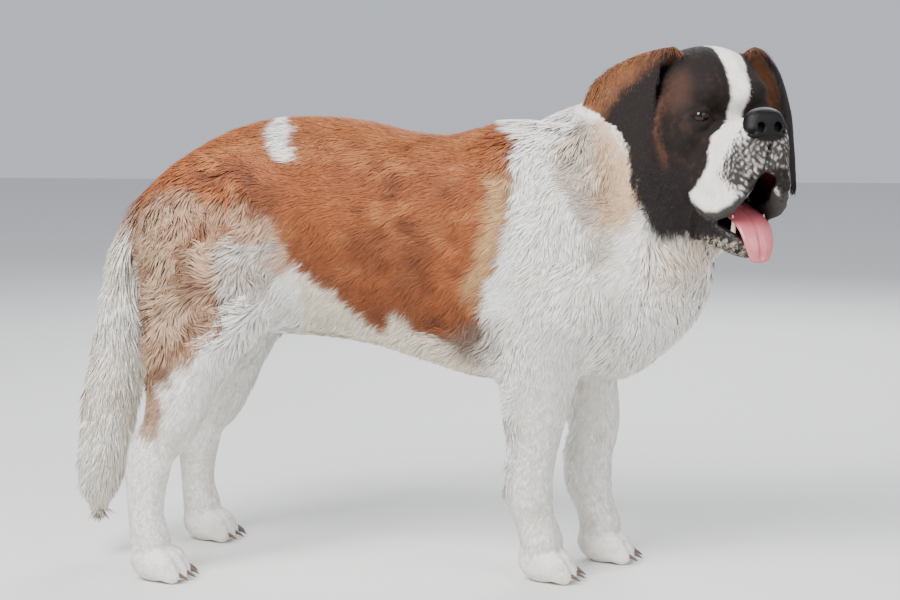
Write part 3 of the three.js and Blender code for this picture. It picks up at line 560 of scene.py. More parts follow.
def head_masses(clay):
    """The head's masses, in its own frame: x towards the nose, y to its left, z up."""

    def add(*values, **options):
        clay.egg(*values, head=True, **options)

    def run(*values, **options):
        clay.limb(*values, head=True, **options)

    # Nape, braincase, then brow, cheekbone and jowl on each side
    run([(-50, 0, -40, 84, 86), (-95, 0, -90, 100, 100)], 40, "neck")
    add((-8, 0, 28), (104, 97, 80), 30, "skull")
    add((-72, 0, 22), (52, 66, 66), 40, "skull")
    for s in SIDES:
        add((64, 40 * s, 16), (38, 36, 26), 20, "skull")
        add((26, 70 * s, -40), (64, 35, 50), 26, "skull")
        add((-12, 66 * s, -92), (60, 38, 66), 36, "skull")

    # Muzzle, then the pad and the hanging flew on each side, and the throat
    run([(58, 0, -74, 46, 60), (105, 0, -76, 43, 56), (156, 0, -76, 38, 50)], 16, "muzzle", power=2.7)
    for s in SIDES:
        pad = [
            (168, 20, -104, 26, 23),
            (138, 36, -128, 40, 21),
            (100, 45, -136, 44, 19),
            (62, 52, -122, 34, 21),
        ]
        run(mirrored(pad, s), 18, "muzzle", steps=2)
        flew = [
            (172, 17, -128, 13, 16),
            (158, 35, -152, 14, 15),
            (132, 47, -176, 15, 14),
            (100, 52, -184, 15, 13),
            (70, 55, -168, 15, 13),
            (48, 55, -140, 15, 15),
        ]
        run(mirrored(flew, s), 14, "flews", steps=2)
    run([(40, 0, -190, 26, 36), (-20, 0, -190, 44, 58), (-70, 0, -160, 70, 86)], 34, "dewlap")

    # Inside of the mouth, furrow of the forehead, eye sockets and the groove below the nose
    mouth = [(40, 0, -150, 40, 44), (100, 0, -152, 36, 42), (150, 0, -142, 20, 27), (175, 0, -150, 14, 15)]
    run(mouth, 6, "mouth", carve=True, steps=3)
    run([(104, 0, 4, 8, 7), (92, 0, 50, 9, 7), (62, 0, 92, 7, 6)], 14, "skull", carve=True, steps=3)
    for s in SIDES:
        add((100, 65 * s, -28), (20, 20, 12), 9, "lids", carve=True)
    run([(186, 0, -84, 4, 4), (190, 0, -112, 5, 4), (184, 0, -140, 6, 5)], 5, "muzzle", carve=True, steps=2)

    # Upper and lower lids
    for s in SIDES:
        for lid in (
            [(85, 44, -24, 6, 6), (93, 57, -17, 8, 8), (81, 74, -22, 8, 8)],
            [(87, 45, -33, 5, 5), (93, 59, -41, 7, 7), (79, 75, -37, 7, 7)],
        ):
            run(mirrored(lid, s), 7, "lids", steps=3)


def jaw_masses(clay):
    """The lower jaw, worked out apart and then joined, so that the mouth stays open."""
    middle = from_head([(60, 0, -190)])[0]
    window = clay.window(middle - 170, middle + 170)
    jaw = Clay([line[span] for line, span in zip(clay.lines, window)])

    def run(*values, **options):
        jaw.limb(*values, head=True, **options)

    bone = [(-6, 0, -186, 34, 56), (52, 0, -214, 31, 48), (96, 0, -238, 24, 38), (120, 0, -250, 15, 27)]
    run(bone, 14, "jaw")
    for s in SIDES:
        lip = [
            (2, 52, -168, 22, 10),
            (34, 56, -194, 26, 11),
            (66, 50, -212, 24, 11),
            (96, 38, -226, 18, 10),
            (118, 19, -236, 12, 10),
        ]
        run(mirrored(lip, s), 10, "jaw", steps=3)
    floor = [(20, 0, -140, 26, 36), (70, 0, -178, 20, 30), (108, 0, -212, 16, 26), (150, 0, -240, 14, 24)]
    run(floor, 6, "mouth", carve=True, steps=3)
    old = clay.value[window]
    soft = 5.0
    h = np.maximum(soft - np.abs(old - jaw.value), 0) / soft
    mine = jaw.value < old
    clay.owner[window][mine] = jaw.owner[mine]
    clay.value[window] = np.minimum(old, jaw.value) - h * h * soft / 4


def toe_end(x, across):
    """How far forward a toe reaches before its claw."""
    return x + PAW["length"] / 2 - 10 - 16 * abs(across)


def paw_masses(clay):
    """Each paw's pad and its four toes."""
    half = PAW["width"] / 2
    width = PAW["toe_width"]
    for x, y in PAWS:
        clay.egg((x - 4, y, 30), (50, half - 3, 34), 16, "paw", tilt=-12)
        for across in TOES:
            out = across * half
            tip = toe_end(x, across)
            toe = [
                (x, y + out * 0.8, 40, 19, width),
                (tip - 16, y + out, 30, 24, width),
                (tip, y + out, 16, 16, 12),
            ]
            clay.limb(toe, 7, "paw", steps=2)


def body_clay(scale=1.0):
    """All of the dog's flesh and coat as one mass."""
    step = {name: size * scale for name, size in STEP.items()}
    head = [(low, high, step["head"]) for low, high in HEAD_SPANS]
    clay = Clay(
        [
            graded(-630, 700, step["body"], head[:1]),
            graded(-250, 250, step["across"], head[1:2]),
            graded(-26, 960, step["body"], [(*PAW_SPAN, step["paws"]), head[2]]),
        ]
    )
    clay.limb(TRUNK, 1, "trunk", power=2.3)
    clay.limb(NECK, 60, "neck")
    clay.limb(BIB, 60, "bib")
    for s in SIDES:
        clay.limb(mirrored(SHOULDER, s), 36, "shoulder")
        ahead = AHEAD["foreleg"][s]
        leg = [(v[0] + ahead * min(1, 0.25 + i / 4), *v[1:]) for i, v in enumerate(mirrored(FORELEG, s))]
        clay.limb(leg, 34, "foreleg")
        clay.limb(mirrored(HINDLEG, s, AHEAD["hindleg"][s]), 44, "hindleg")
    paw_masses(clay)
    clay.limb(TAIL, 26, "tail")
    head_masses(clay)
    jaw_masses(clay)
    for s in SIDES:
        clay.cloud(ear_points(s), EAR_THICK / 2, 8, "ear")
    ground = clay.lines[2][None, None, :]
    clay.value = np.maximum(clay.value, -ground).astype(np.float32)
    return clay


# Small help with meshes


def ripple(points, size, seed, octaves=3):
    """Soft random waves over space, about -1 to 1, whose features are size millimetres across."""
    rng = np.random.default_rng(seed)
    total = np.zeros(len(points))
    weight = 0.0
    for octave in range(octaves):
        strength = 0.55**octave
        for _ in range(6):
            way = rng.normal(size=3)
            way *= 2 * math.pi * 1.75**octave / (size * np.linalg.norm(way) * rng.uniform(0.8, 1.3))
            total += strength * np.sin(points @ way + rng.uniform(0, 2 * math.pi)) / 2.4
        weight += strength
    return total / weight


def ramp(value, low, high):
    """Rises smoothly from 0 at low to 1 at high."""
    t = np.clip((value - low) / (high - low), 0, 1)
    return t * t * (3 - 2 * t)


def linear(colour):
    """A colour named by its 0 to 255 values, as the linear light that Blender works in."""
    c = np.asarray(colour, float) / 255
    return np.where(c <= 0.04045, c / 12.92, ((c + 0.055) / 1.055) ** 2.4)


def mix(a, b, share):
    """From a to b by the share, point by point."""
    share = np.asarray(share)[..., None]
    return a * (1 - share) + b * share


def new_mesh(name, points, faces, smooth=True):
    """A mesh from points in millimetres, placed in the solids' frame."""
    mesh = bpy.data.meshes.new(name)
    places = (np.asarray(points, float) - SHIFT) / 1000
    mesh.from_pydata(places.tolist(), [], [list(map(int, f)) for f in faces])
    mesh.polygons.foreach_set("use_smooth", [smooth] * len(mesh.polygons))
    mesh.update()
    return mesh


def new_piece(name, mesh, nodes, material):
    """A piece of the dog, with the solids that it stands for."""
    piece = bpy.data.objects.new(name, mesh)
    bpy.context.scene.collection.objects.link(piece)
    mesh.materials.clear()
    mesh.materials.append(material)
    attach(piece, "root")
    if nodes:
        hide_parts(*nodes)
    return piece


def rgba_of(colours):
    """Colours with a fourth value of one."""
    return np.c_[colours, np.ones(len(colours))].astype(np.float32)


def paint(mesh, name, colours):
    """Gives each point of the mesh a colour."""
    layer = mesh.color_attributes.new(name, "FLOAT_COLOR", "POINT")
    layer.data.foreach_set("color", rgba_of(colours).ravel())


def store(mesh, name, kind, values):
    """Gives each point of the mesh a value of its own."""
    field = {"FLOAT_VECTOR": "vector", "FLOAT_COLOR": "color"}.get(kind, "value")
    values = np.asarray(values, np.int32 if kind == "INT" else np.float32)
    mesh.attributes.new(name, kind, "POINT").data.foreach_set(field, values.ravel())


def triangles_of(quads):
    """Two triangles for each quad."""
    return np.concatenate([quads[:, [0, 1, 2]], quads[:, [0, 2, 3]]])


def normals_of(points, triangles):
    """Which way the surface faces at each point."""
    a, b, c = (points[triangles[:, n]] for n in range(3))
    face = np.cross(b - a, c - a)
    normal = np.zeros_like(points)
    for n in range(3):
        for axis in range(3):
            normal[:, axis] += np.bincount(triangles[:, n], face[:, axis], len(points))
    return normal / np.maximum(np.linalg.norm(normal, axis=1, keepdims=True), 1e-9)


def spread_out(values, triangles, rounds):
    """Each point's values, mixed with those of its neighbours."""
    edges = np.concatenate([triangles[:, [0, 1]], triangles[:, [1, 2]], triangles[:, [2, 0]]])
    a = np.concatenate([edges[:, 0], edges[:, 1]])
    b = np.concatenate([edges[:, 1], edges[:, 0]])
    count = len(values)
    number = np.bincount(a, minlength=count)[:, None]
    values = values.copy()
    for _ in range(rounds):
        total = np.stack([np.bincount(a, values[b, n], count) for n in range(values.shape[1])], 1)
        values = 0.4 * values + 0.6 * total / np.maximum(number, 1)
    return values


# Colours, named by their 0 to 255 values
RUST = linear((150, 84, 46))
RUST_DARK = linear((98, 52, 30))
RUST_LIGHT = linear((180, 116, 70))
TAN = linear((188, 146, 106))
GOLD = linear((198, 160, 112))
CREAM = linear((234, 220, 198))
WHITE = linear((246, 242, 234))
DUN = linear((188, 156, 128))
UMBER = linear((120, 78, 54))
PALE_GREY = linear((192, 184, 176))
GREY = linear((148, 134, 122))
MASK = linear((27, 21, 21))
MASK_BROWN = linear((74, 48, 36))
EAR_RUST = linear((112, 72, 48))
LIP = linear((22, 18, 19))
GULLET = linear((70, 26, 26))
EYE_RIM = linear((20, 12, 10))
# The white of the eye, its dark pinkish colour darkened further by painted shade.
SHADED_EYE_WHITE = linear((36, 22, 20))
EYE_BLACK = np.array([0.003, 0.002, 0.002])
IVORY = linear((222, 208, 178))


def ahead_of_leg(points, stations, ahead):
    """How far each point lies ahead of the middle of a leg at its own height."""
    line = through_stations(stations, 4)
    order = np.argsort(line[:, 2])
    x = line[order, 0] + ahead
    return points[:, 0] - np.interp(points[:, 2], line[order, 2], x)


def labelled(labels, *names):
    """Which points belong to the masses of these names."""
    return np.isin(labels, [LABELS.index(name) for name in names])


def edge(name, at):
    """Where a marking's edge lies, at places along it."""
    return np.interp(at, *EDGES[name])


class Markings:
    """Works out the coat's colour at each point of the dog, one area over the other."""

    def __init__(self, points, labels):
        self.points = points
        self.labels = labels
        self.head = to_head(points)
        self.broad = ripple(points, 150, 3)
        self.swirl = ripple(points * np.array([1.0, 1.0, 1.5]), 62, 7)
        self.fine = ripple(points, 16, 11)
        self.saddle()
        self.belly()
        self.shoulders()
        self.thighs()
        self.neck()
        self.legs_and_tail()
        self.face()
        self.ears_and_mouth()

    def on(self, *names):
        return labelled(self.labels, *names)

    def lay(self, paint, share, where=None):
        """Lays a colour over the others, by its share, where it is wanted."""
        laid = mix(self.colour, paint, share)
        self.colour = laid if where is None else np.where(where[:, None], laid, self.colour)

    def saddle(self):
        """The rust saddle, with darker swirls over it and a painted highlight along the top of the back."""
        x, _, z = self.points.T
        swirl, broad = self.swirl, self.broad
        self.colour = mix(RUST[None], RUST_DARK, 0.75 * ramp(0.6 * swirl + 0.5 * broad - 0.1, 0.05, 0.75))
        self.lay(RUST_LIGHT, 0.6 * ramp(-swirl + 0.3 * broad, 0.15, 0.8))
        # Painted highlight: the top of the back is made lighter, where the light falls on it.
        self.lay(RUST_LIGHT, 0.35 * ramp(z, 700, 800) * (x < 160))
        for at_x, at_z, wide, tall in ((-29, 584, 48, 44), (-214, 664, 50, 26), (60, 560, 40, 70)):
            away = np.hypot((x - at_x) / wide, (z - at_z) / tall)
            self.lay(RUST_DARK, 0.6 * ramp(-away - 0.3 * swirl, -1.3, -0.3))

    def belly(self):
        """Pale under the belly, with a notch below the ribs and painted shade on the rust just above the
        pale.
        """
        x, _, z = self.points.T
        above = z - (edge("belly", x) + 7 * self.swirl)
        # Painted shade: the rust darkens on the underside of the barrel, just above the pale belly.
        self.lay(RUST_DARK, ramp(-(above - 60), -40, 20) * 0.45)
        self.lay(CREAM, ramp(-above, -8, 10))

    def shoulders(self):
        """White shoulders with a buff edge, painted shade behind the elbow, and the white spot on the near
        side of the rump.
        """
        x, y, z = self.points.T
        past = x - (edge("shoulder", z) + 4 * self.broad + 4 * self.swirl)
        golden = ramp(past, -48, -24) * ramp(z, 470, 540) * ramp(-z, -735, -700)
        self.lay(GOLD, 0.8 * golden)
        self.lay(UMBER, 0.5 * golden * ramp(past, -14, -3))
        self.lay(WHITE, ramp(past, -6, 9))
        # Painted shade: a dark grey patch low on each side of the chest, behind the elbow.
        self.lay(GREY * 0.6, 0.7 * ramp(-np.hypot(x - 158, (z - 425) * 0.9), -54, -24) * (np.abs(y) > 60))
        spot = np.hypot((x + 188 + 0.25 * (z - 770)) / 22, (z - 768) / 44)
        self.lay(WHITE, ramp(-spot - 0.25 * self.swirl, -1.1, -0.75) * (y < 20))
        self.past_shoulder = past

    def thighs(self):
        """Dun thighs with umber swirls, a pale grey stifle, white down the front of the leg."""
        x, y, z = self.points.T
        swirl = self.swirl
        leg = self.on("hindleg")
        hind = (leg | self.on("trunk")) & (x < -150)
        ahead = x - AHEAD["hindleg"][LEFT] * (y > 0) * ramp(-z, -560, -460)
        thigh = mix(DUN[None], UMBER, 0.75 * ramp(0.8 * ripple(self.points, 46, 17) + 0.4 * swirl, 0.05, 0.7))
        thigh = mix(thigh, RUST, 0.3 * ramp(self.broad, -0.2, 0.6))
        for at_x, at_z, wide, tall in ((-274, 497, 34, 30), (-330, 540, 22, 62), (-385, 372, 26, 34)):
            away = np.hypot((ahead - at_x) / wide, (z - at_z) / tall)
            thigh = mix(thigh, UMBER * 0.8, 0.75 * ramp(-away, -1.2, -0.4))
        self.lay(thigh, ramp(edge("thigh", ahead) - z + 10 * swirl, -8, 26), hind)
        stifle = ramp(ahead, -284, -266) * ramp(-(z - 596), -14, 12) * ramp(-ahead, 176, 204)
        self.lay(mix(PALE_GREY[None], DUN, 0.5 * ramp(swirl, -0.2, 0.7)), stifle, hind)
        white_leg = mix(WHITE[None], DUN, 0.18 * ramp(swirl, 0.0, 0.9))
        self.lay(white_leg, ramp(edge("white leg", ahead) - z + 8 * swirl, -10, 12), leg | hind)
        hock = ramp(-np.hypot((ahead + 408) / 26, (z - 306) / 62) + 0.2 * swirl, -1.2, -0.6)
        self.lay(mix(UMBER[None], TAN, 0.45), 0.9 * hock, leg)

    def neck(self):
        """A grey-brown patch and a golden one behind the ear, and dark hair beside the mouth that is partly
        painted shadow under the ear.
        """
        x, _, z = self.points.T
        hx, hy, hz = self.head.T
        swirl = self.swirl
        front = self.on("neck", "bib", "shoulder", "dewlap", "trunk", "skull")
        white = self.past_shoulder > 0
        middle, half = edge("neck middle", z), edge("neck half", z)
        shade = ramp(half - np.abs(x - middle) + 5 * swirl, -6, 8) * ramp(z, 604, 632)
        gold = ramp(x - middle - half, -8, 8) * ramp(edge("neck gold", z) - x, -10, 8)
        gold = gold * ramp(z + 10 * swirl, 604, 636) * ramp(-z, -806, -790)
        self.lay(mix(GREY[None], DUN, 0.3 + 0.4 * swirl), 0.8 * shade, front & white)
        self.lay(mix(GOLD[None], TAN, 0.5 + 0.5 * swirl), 0.85 * gold, front & white)
        streak = ramp(-np.hypot((x - 358) / 14, (z - 676) / 30), -1.3, -0.5)
        self.lay(UMBER * 1.3, 0.6 * streak, front & white)
        cloud = ramp(-np.hypot((x - 367) / 34, (z - 592) / 34), -1.2, -0.5)
        self.lay(mix(GREY[None], CREAM, 0.35), 0.7 * cloud, front & white)
        self.lay(CREAM, 0.35 * ramp(swirl, 0.1, 0.8) * white, front)
        throat = ramp(hx, -28, 6) * ramp(hz, -320, -225) * ramp(-hz, 205, 225)
        self.lay(GOLD, 0.42 * throat, front)
        # Dark behind the corner of the mouth, below the ear: partly the coat's own dark hair, partly painted
        # shadow of the ear.
        beside_mouth = ramp(hx - edge("mouth corner", -hz), -6, 8) * ramp(hz, -222, -206) * ramp(-hz, -20, 0)
        self.lay(MASK, beside_mouth * ramp(-np.abs(hy), -146, -132), front)

    def legs_and_tail(self):
        """White forelegs and paws, and a cream tail that is rust at its root."""
        swirl = self.swirl
        leg_white = mix(WHITE[None], TAN, 0.2 * ramp(swirl + self.fine * 0.4, 0.2, 1.0))
        self.lay(leg_white, 1.0, self.on("foreleg", "paw"))
        tail = mix(mix(WHITE[None], CREAM, 0.5 + 0.4 * self.broad), TAN, 0.2 * ramp(swirl, 0.1, 0.8))
        tail = mix(tail, RUST, 0.8 * ramp(self.points[:, 2], 610, 668))
        self.lay(tail, 1.0, self.on("tail"))

    def mask(self):
        """The dark mask, with a painted highlight in rust along the front edge of the cheek and a painted
        brown sheen above the eye.
        """
        hx, hy, hz = self.head.T
        out = np.abs(hy)
        mask = mix(MASK[None], MASK_BROWN, 0.3 * ramp(self.fine + self.swirl, 0.2, 1.2))
        # Painted highlight: a rust strip along the front edge of the cheek, where it catches the light.
        cheek = ramp(-np.abs(hx - 24 - 0.1 * np.abs(hz + 40)), -13, -3) * ramp(out, 70, 90)
        cheek = cheek * ramp(hz, -116, -80) * ramp(-hz, -50, 20)
        mask = mix(mask, EAR_RUST, 0.38 * cheek * (0.75 + 0.5 * self.fine))
        # Painted highlight: a brown sheen on the brow above the eye.
        sheen = ramp(-np.hypot(hx - 54, (hz - 22) * 0.8), -44, -8) * ramp(out, 50, 76)
        return mix(mask, MASK_BROWN * 1.2 + 0.006, 0.6 * sheen)

    def white_of_face(self):
        """How white the face is: the blaze, the bridge of the nose and the band down the muzzle."""
        hx, hy, hz = self.head.T
        half = edge("blaze half", hz) + 2 * self.fine
        blaze = ramp(half - np.abs(hy - edge("blaze middle", hz)), -3, 4)
        blaze = blaze * ramp(hz, -50, -30) * ramp(hx, -75, -35)
        band = ramp(hx - (edge("muzzle back", -hz) + 3 * self.fine), -4, 5) * ramp(-hz, 12, 24)
        bridge = ramp(hx - 98, -6, 8) * ramp(hx * 0.55 - 26 - np.abs(hy - 6), -6, 6) * ramp(-hz, 2, 18)
        return np.clip(np.maximum(blaze, np.maximum(band, bridge)), 0, 1)

    def chin(self):
        """The speckled chin, with its pale beard, the dark jaw beside it and the wet lip over it."""
        hx, _, hz = self.head.T
        chin = mix(CREAM[None] * 0.8, MASK, ramp(ripple(self.points, 9, 5, 2) + 0.3, -0.25, 0.35))
        beard = ramp(-np.hypot((hx - 62) / 34, (hz + 240) / 16), -1.2, -0.6)
        chin = mix(mix(MASK[None], chin, 0.6 * ramp(-hz, 214, 232)), chin, beard)
        return mix(chin, LIP, ramp(hz + 214 + 0.35 * (hx - 60), -6, 8))

    def face(self):
        """A dark mask with a white blaze and muzzle, which is speckled in front and black at the lip."""
        hx, hy, hz = self.head.T
        face = mix(self.mask(), WHITE, self.white_of_face())
        dusk = ramp(hx - edge("muzzle front", -hz) + 5 * self.fine, -10, 26) * ramp(-hz, 44, 60)
        speckle = ripple(self.points, 6.0, 23, 2)
        spots = np.clip(dusk * 1.25 + 1.1 * speckle * (1 - 0.45 * dusk) - 0.15, 0, 1) * ramp(dusk, 0.0, 0.15)
        face = mix(face, MASK * 1.3, 0.975 * spots)
        flew = self.on("flews", "muzzle")
        lip = flew * ramp(-(hz - edge("lip", hx)), -6, 1)
        lip = np.maximum(lip, flew * ramp(-hz, 104, 112) * (np.abs(hy) < 46) * ramp(-hx, -164, -158))
        face = mix(face, LIP, 0.95 * lip)
        face = np.where(self.on("jaw")[:, None], self.chin(), face)
        from_eyes = (np.linalg.norm(self.head - np.array([88, 60 * s, -27]), axis=1) for s in SIDES)
        around_eye = np.minimum(*from_eyes)
        face = mix(face, LIP * 0.8, 0.9 * ramp(-around_eye, -26, -16))
        at_nose = np.linalg.norm((self.head - np.array([184, 0, -57])) / np.array([30, 37, 30]), axis=1)
        face = mix(face, LIP * 0.5, ramp(-at_nose, -1.08, -0.98))
        on_head = self.on("skull", "muzzle", "flews", "lids", "jaw")
        self.lay(face, 1.0, on_head)
        nape = mix(mix(EAR_RUST[None], GOLD, ramp(-hz, 0, 80)), WHITE, ramp(-hx, 92, 120))
        self.lay(nape, ramp(-hx - 0.3 * (hz - 20), 66, 96) * on_head)

    def ears_and_mouth(self):
        """Dark ears that turn rust over their fold, and the inside of the mouth, with painted shade deep in
        the throat.
        """
        hx, hy, hz = self.head.T
        over = (hz - 0.88 * hx - 42) / 1.33
        ear = mix(MASK[None], EAR_RUST, ramp(over + 9 * self.swirl + 5 * self.fine, -6, 22))
        ear = mix(ear, RUST_LIGHT * 0.8, 0.5 * ramp(over + 16 * self.fine + 8 * self.swirl, 22, 52))
        self.lay(ear, 1.0, self.on("ear"))
        # Painted shade: the gullet darkens towards the back of the mouth.
        inside = mix(GULLET[None], GULLET * 0.35, ramp(-hx, -130, -60))
        inside = mix(inside, LIP, np.maximum(ramp(np.abs(hy), 30, 40), ramp(hx, 158, 166)))
        self.lay(inside, 1.0, self.on("mouth"))

    def result(self):
        """The finished colours, a little lighter and darker from hair to hair."""
        return np.clip(self.colour * (1 + 0.07 * self.fine)[:, None], 0.002, 0.95)


def growth_at(points, labels):
    """Depth, length, width and number of the coat at each point."""
    table = np.array([GROWTH[name] for name in LABELS], float)
    grow = table[labels].copy()
    _, y, z = points.T
    h = to_head(points)
    hx, _, hz = h.T

    def on(*names):
        return labelled(labels, *names)

    def towards(share, values):
        """Brings the growth nearer to the values, by the share."""
        share = np.clip(share, 0, 1)[:, None]
        grow[:] = grow * (1 - share) + np.array(values, float) * share

    # Breeches and hocks, then the feathering behind the forelegs
    for side in SIDES:
        here = (y * side > 0) & on("hindleg")
        ahead = ahead_of_leg(points, HINDLEG, AHEAD["hindleg"][side])
        towards(here * ramp(z, 330, 460), (10, 42, 4.8, 7.5))
        towards(here * ramp(z, 300, 400) * ramp(-ahead, 30, 80), (15, 62, 5.4, 7.0))
        towards(here * ramp(-z, -270, -215), (3, 13, 2.8, 14))
        here = (y * side > 0) & on("foreleg")
        ahead = ahead_of_leg(points, FORELEG, AHEAD["foreleg"][side])
        towards(here * ramp(z, 300, 400), (6.5, 28, 3.9, 10))
        towards(here * ramp(-ahead, 22, 38) * ramp(z, 120, 190), (8, 40, 4.0, 9.5))

    # Tip of the tail, belly, nape, face and ears
    towards(on("tail") * ramp(-z, -190, -110), (9, 46, 4.6, 10))
    towards(on("trunk") * ramp(-(z - 430), -40, 20), (11, 44, 4.8, 7.5))
    towards(on("skull") * ramp(-hx, 20, 80), (6, 24, 3.8, 10))
    towards(on("skull") * ramp(-hx - 0.6 * hz, 50, 130), (12, 46, 4.8, 7.5))
    towards(on("skull") * ramp(hx, 30, 60), (1.6, 8, 2.2, 16))
    towards(on("ear") * ramp(-hx, 20, 90), (3.4, 30, 3.6, 11))
    towards(on("ear") * ramp(hz, 50, 90), (2.6, 22, 3.2, 12))

    # The hair beneath an ear is short, so that the flap lies over it.
    for side in SIDES:
        flap = ear_points(side, 18.0)
        close = np.abs(points - flap.mean(0)).max(1) < 260
        far = np.full(len(points), 500.0)
        gaps = np.linalg.norm(points[close][:, None] - flap[None, ::4], axis=2)
        far[close] = gaps.min(1)
        towards(~on("ear") * ramp(-far, -52, -26) * (grow[:, 0] > 3), (2.5, 12, 3.0, 13))

    # So is the hair about the corner of the mouth.
    throat = ramp(hx, -30, 0) * ramp(hz, -236, -205) * ramp(-hz, 90, 120)
    towards(on("neck", "dewlap", "bib", "skull") * throat, (3.0, 14, 3.0, 13))
    return grow


def lie_at(points, labels):
    """The way the hair points at each place, before it is laid on the skin."""
    _, y, z = points.T
    _, hy, hz = to_head(points).T
    ones = np.ones(len(points))

    def on(*names):
        return labelled(labels, *names)

    down = ramp(-(z - 700), -60, 260)
    flow = np.stack([-ones, 0.15 * np.sign(y), -0.25 - 0.75 * down], 1)
    for names, way in LIE.items():
        flow[on(*names)] = way
    back = np.stack([-ones, 0.35 * np.sign(hy), 0.25 * ones], 1)
    back[:, 2] -= 0.9 * ramp(np.abs(hy), 30, 90) + 0.5 * ramp(-hz, 40, 150)
    on_face = on("skull", "muzzle", "flews", "lids", "jaw")
    flow[on_face] = (back @ HEAD_MATRIX[:3, :3].T)[on_face]
    flow[on("ear")] = np.array([-0.25, 0, -1.0]) @ HEAD_MATRIX[:3, :3].T
    return flow / np.linalg.norm(flow, axis=1, keepdims=True)


class Skin:
    """The dog's skin with what grows on it, worked out once and shared by the operators."""

    made = None

    def __init__(self):
        points, quads, owners = body_clay().surface()
        triangles = triangles_of(quads)
        normals = normals_of(points, triangles)
        grow = spread_out(growth_at(points, owners), triangles, 10)
        self.labels = owners
        self.grow = grow
        self.triangles = triangles
        self.quads = quads
        self.colours = Markings(points, owners).result()
        h = to_head(points)
        lips = (owners == LABELS.index("jaw")) * ramp(h[:, 2] + 0.35 * (h[:, 0] - 60), -222, -206)
        self.wet = np.maximum(lips, owners == LABELS.index("mouth")).astype(np.float32)
        self.lie = spread_out(lie_at(points, owners), triangles, 12)
        depth = grow[:, :1] * ramp(points[:, 2], 0, 30)[:, None] + 0.3
        self.outer = points
        self.points = points - normals * depth
        self.normals = spread_out(normals, triangles, 3)

    @classmethod
    def get(cls):
        if cls.made is None:
            cls.made = cls()
        return cls.made


# Materials


class Sock:
    """A socket of a material's nodes, on which sums can be written as ordinary maths."""

    def __init__(self, build, socket):
        self.build = build
        self.socket = socket

    def maths(self, operation, a, b):
        return self.build.node("ShaderNodeMath", {"operation": operation}, {0: a, 1: b})

    def __mul__(self, other):
        return self.maths("MULTIPLY", self, other)

    __rmul__ = __mul__

    def __sub__(self, other):
        return self.maths("SUBTRACT", self, other)

    def __rsub__(self, other):
        return self.maths("SUBTRACT", other, self)


class Finish:
    """Builds one material node by node."""

    def __init__(self, name, **constants):
        self.material = bpy.data.materials.new(name)
        self.material.use_nodes = True
        self.tree = self.material.node_tree
        self.shader = self.tree.nodes["Principled BSDF"]
        for key, value in constants.items():
            self.shader.inputs[key.replace("_", " ")].default_value = value

    def node(self, kind, settings=None, inputs=None, output=0):
        """Adds a node of a kind, with its settings and the values or links of its sockets."""
        made = self.tree.nodes.new(kind)
        for key, value in (settings or {}).items():
            setattr(made, key, value)
        for key, value in (inputs or {}).items():
            if isinstance(value, Sock):
                self.tree.links.new(value.socket, made.inputs[key])
            else:
                made.inputs[key].default_value = value
        return Sock(self, made.outputs[output])

    def feed(self, name, sock):
        """Leads a socket to one of the shader's."""
        self.tree.links.new(sock.socket, self.shader.inputs[name])

    def colour_of(self, attribute):
        return self.node("ShaderNodeAttribute", {"attribute_name": attribute}, output="Color")

    def value_of(self, attribute):
        return self.node("ShaderNodeAttribute", {"attribute_name": attribute}, output="Fac")

    def place(self):
        return self.node("ShaderNodeTexCoord", output="Object")

    def noise(self, scale, detail=3.0):
        inputs = {"Vector": self.place(), "Scale": scale, "Detail": detail}
        return self.node("ShaderNodeTexNoise", inputs=inputs)

    def mixed(self, a, b, share):
        return self.node("ShaderNodeMix", {"data_type": "RGBA"}, {0: share, 6: a, 7: b}, output=2)

    def bumped(self, height, strength, distance):
        """Roughens the surface by a height."""
        inputs = {"Strength": strength, "Distance": distance, "Height": height}
        self.feed("Normal", self.node("ShaderNodeBump", inputs=inputs))


def skin_finish():
    """Skin in the coat's colour, wet at the lips and in the mouth."""
    made = Finish("dog_skin", Specular_IOR_Level=0.2)
    shade = made.mixed(made.colour_of("coat"), (0.02, 0.013, 0.01, 1), made.noise(180.0) * 0.35)
    made.feed("Base Color", shade)
    made.feed("Roughness", 0.85 - made.value_of("wet") * 0.55)
    made.bumped(made.noise(420.0), 0.5, 0.0012)
    return made.material


def hair_finish():
    """Hair in the coat's colour, with painted shade that darkens it towards its roots."""
    made = Finish("dog_hair", Roughness=0.62, Specular_IOR_Level=0.28)
    # Painted shade: the colour is darkened towards black at the roots, fading out at the tips.
    root = 0.26 - made.value_of("along") * 0.26
    made.feed("Base Color", made.mixed(made.colour_of("coat"), (0.0, 0.0, 0.0, 1), root))
    return made.material


# The coat

TUFT_SHAPES = (
    {"name": "short", "rings": 1, "bend": 0.4, "wave": 0.0},
    {"name": "flat", "rings": 2, "bend": 0.45, "wave": 0.0},
    {"name": "lock", "rings": 3, "bend": 0.55, "wave": 0.08},
    {"name": "wavy", "rings": 3, "bend": 0.45, "wave": 0.15},
)
TUFT_HEIGHT = 0.82

# Hair longer than these lengths is a flat tuft, or a lock that may be wavy.
FLAT_FROM = 37
LOCK_FROM = 46


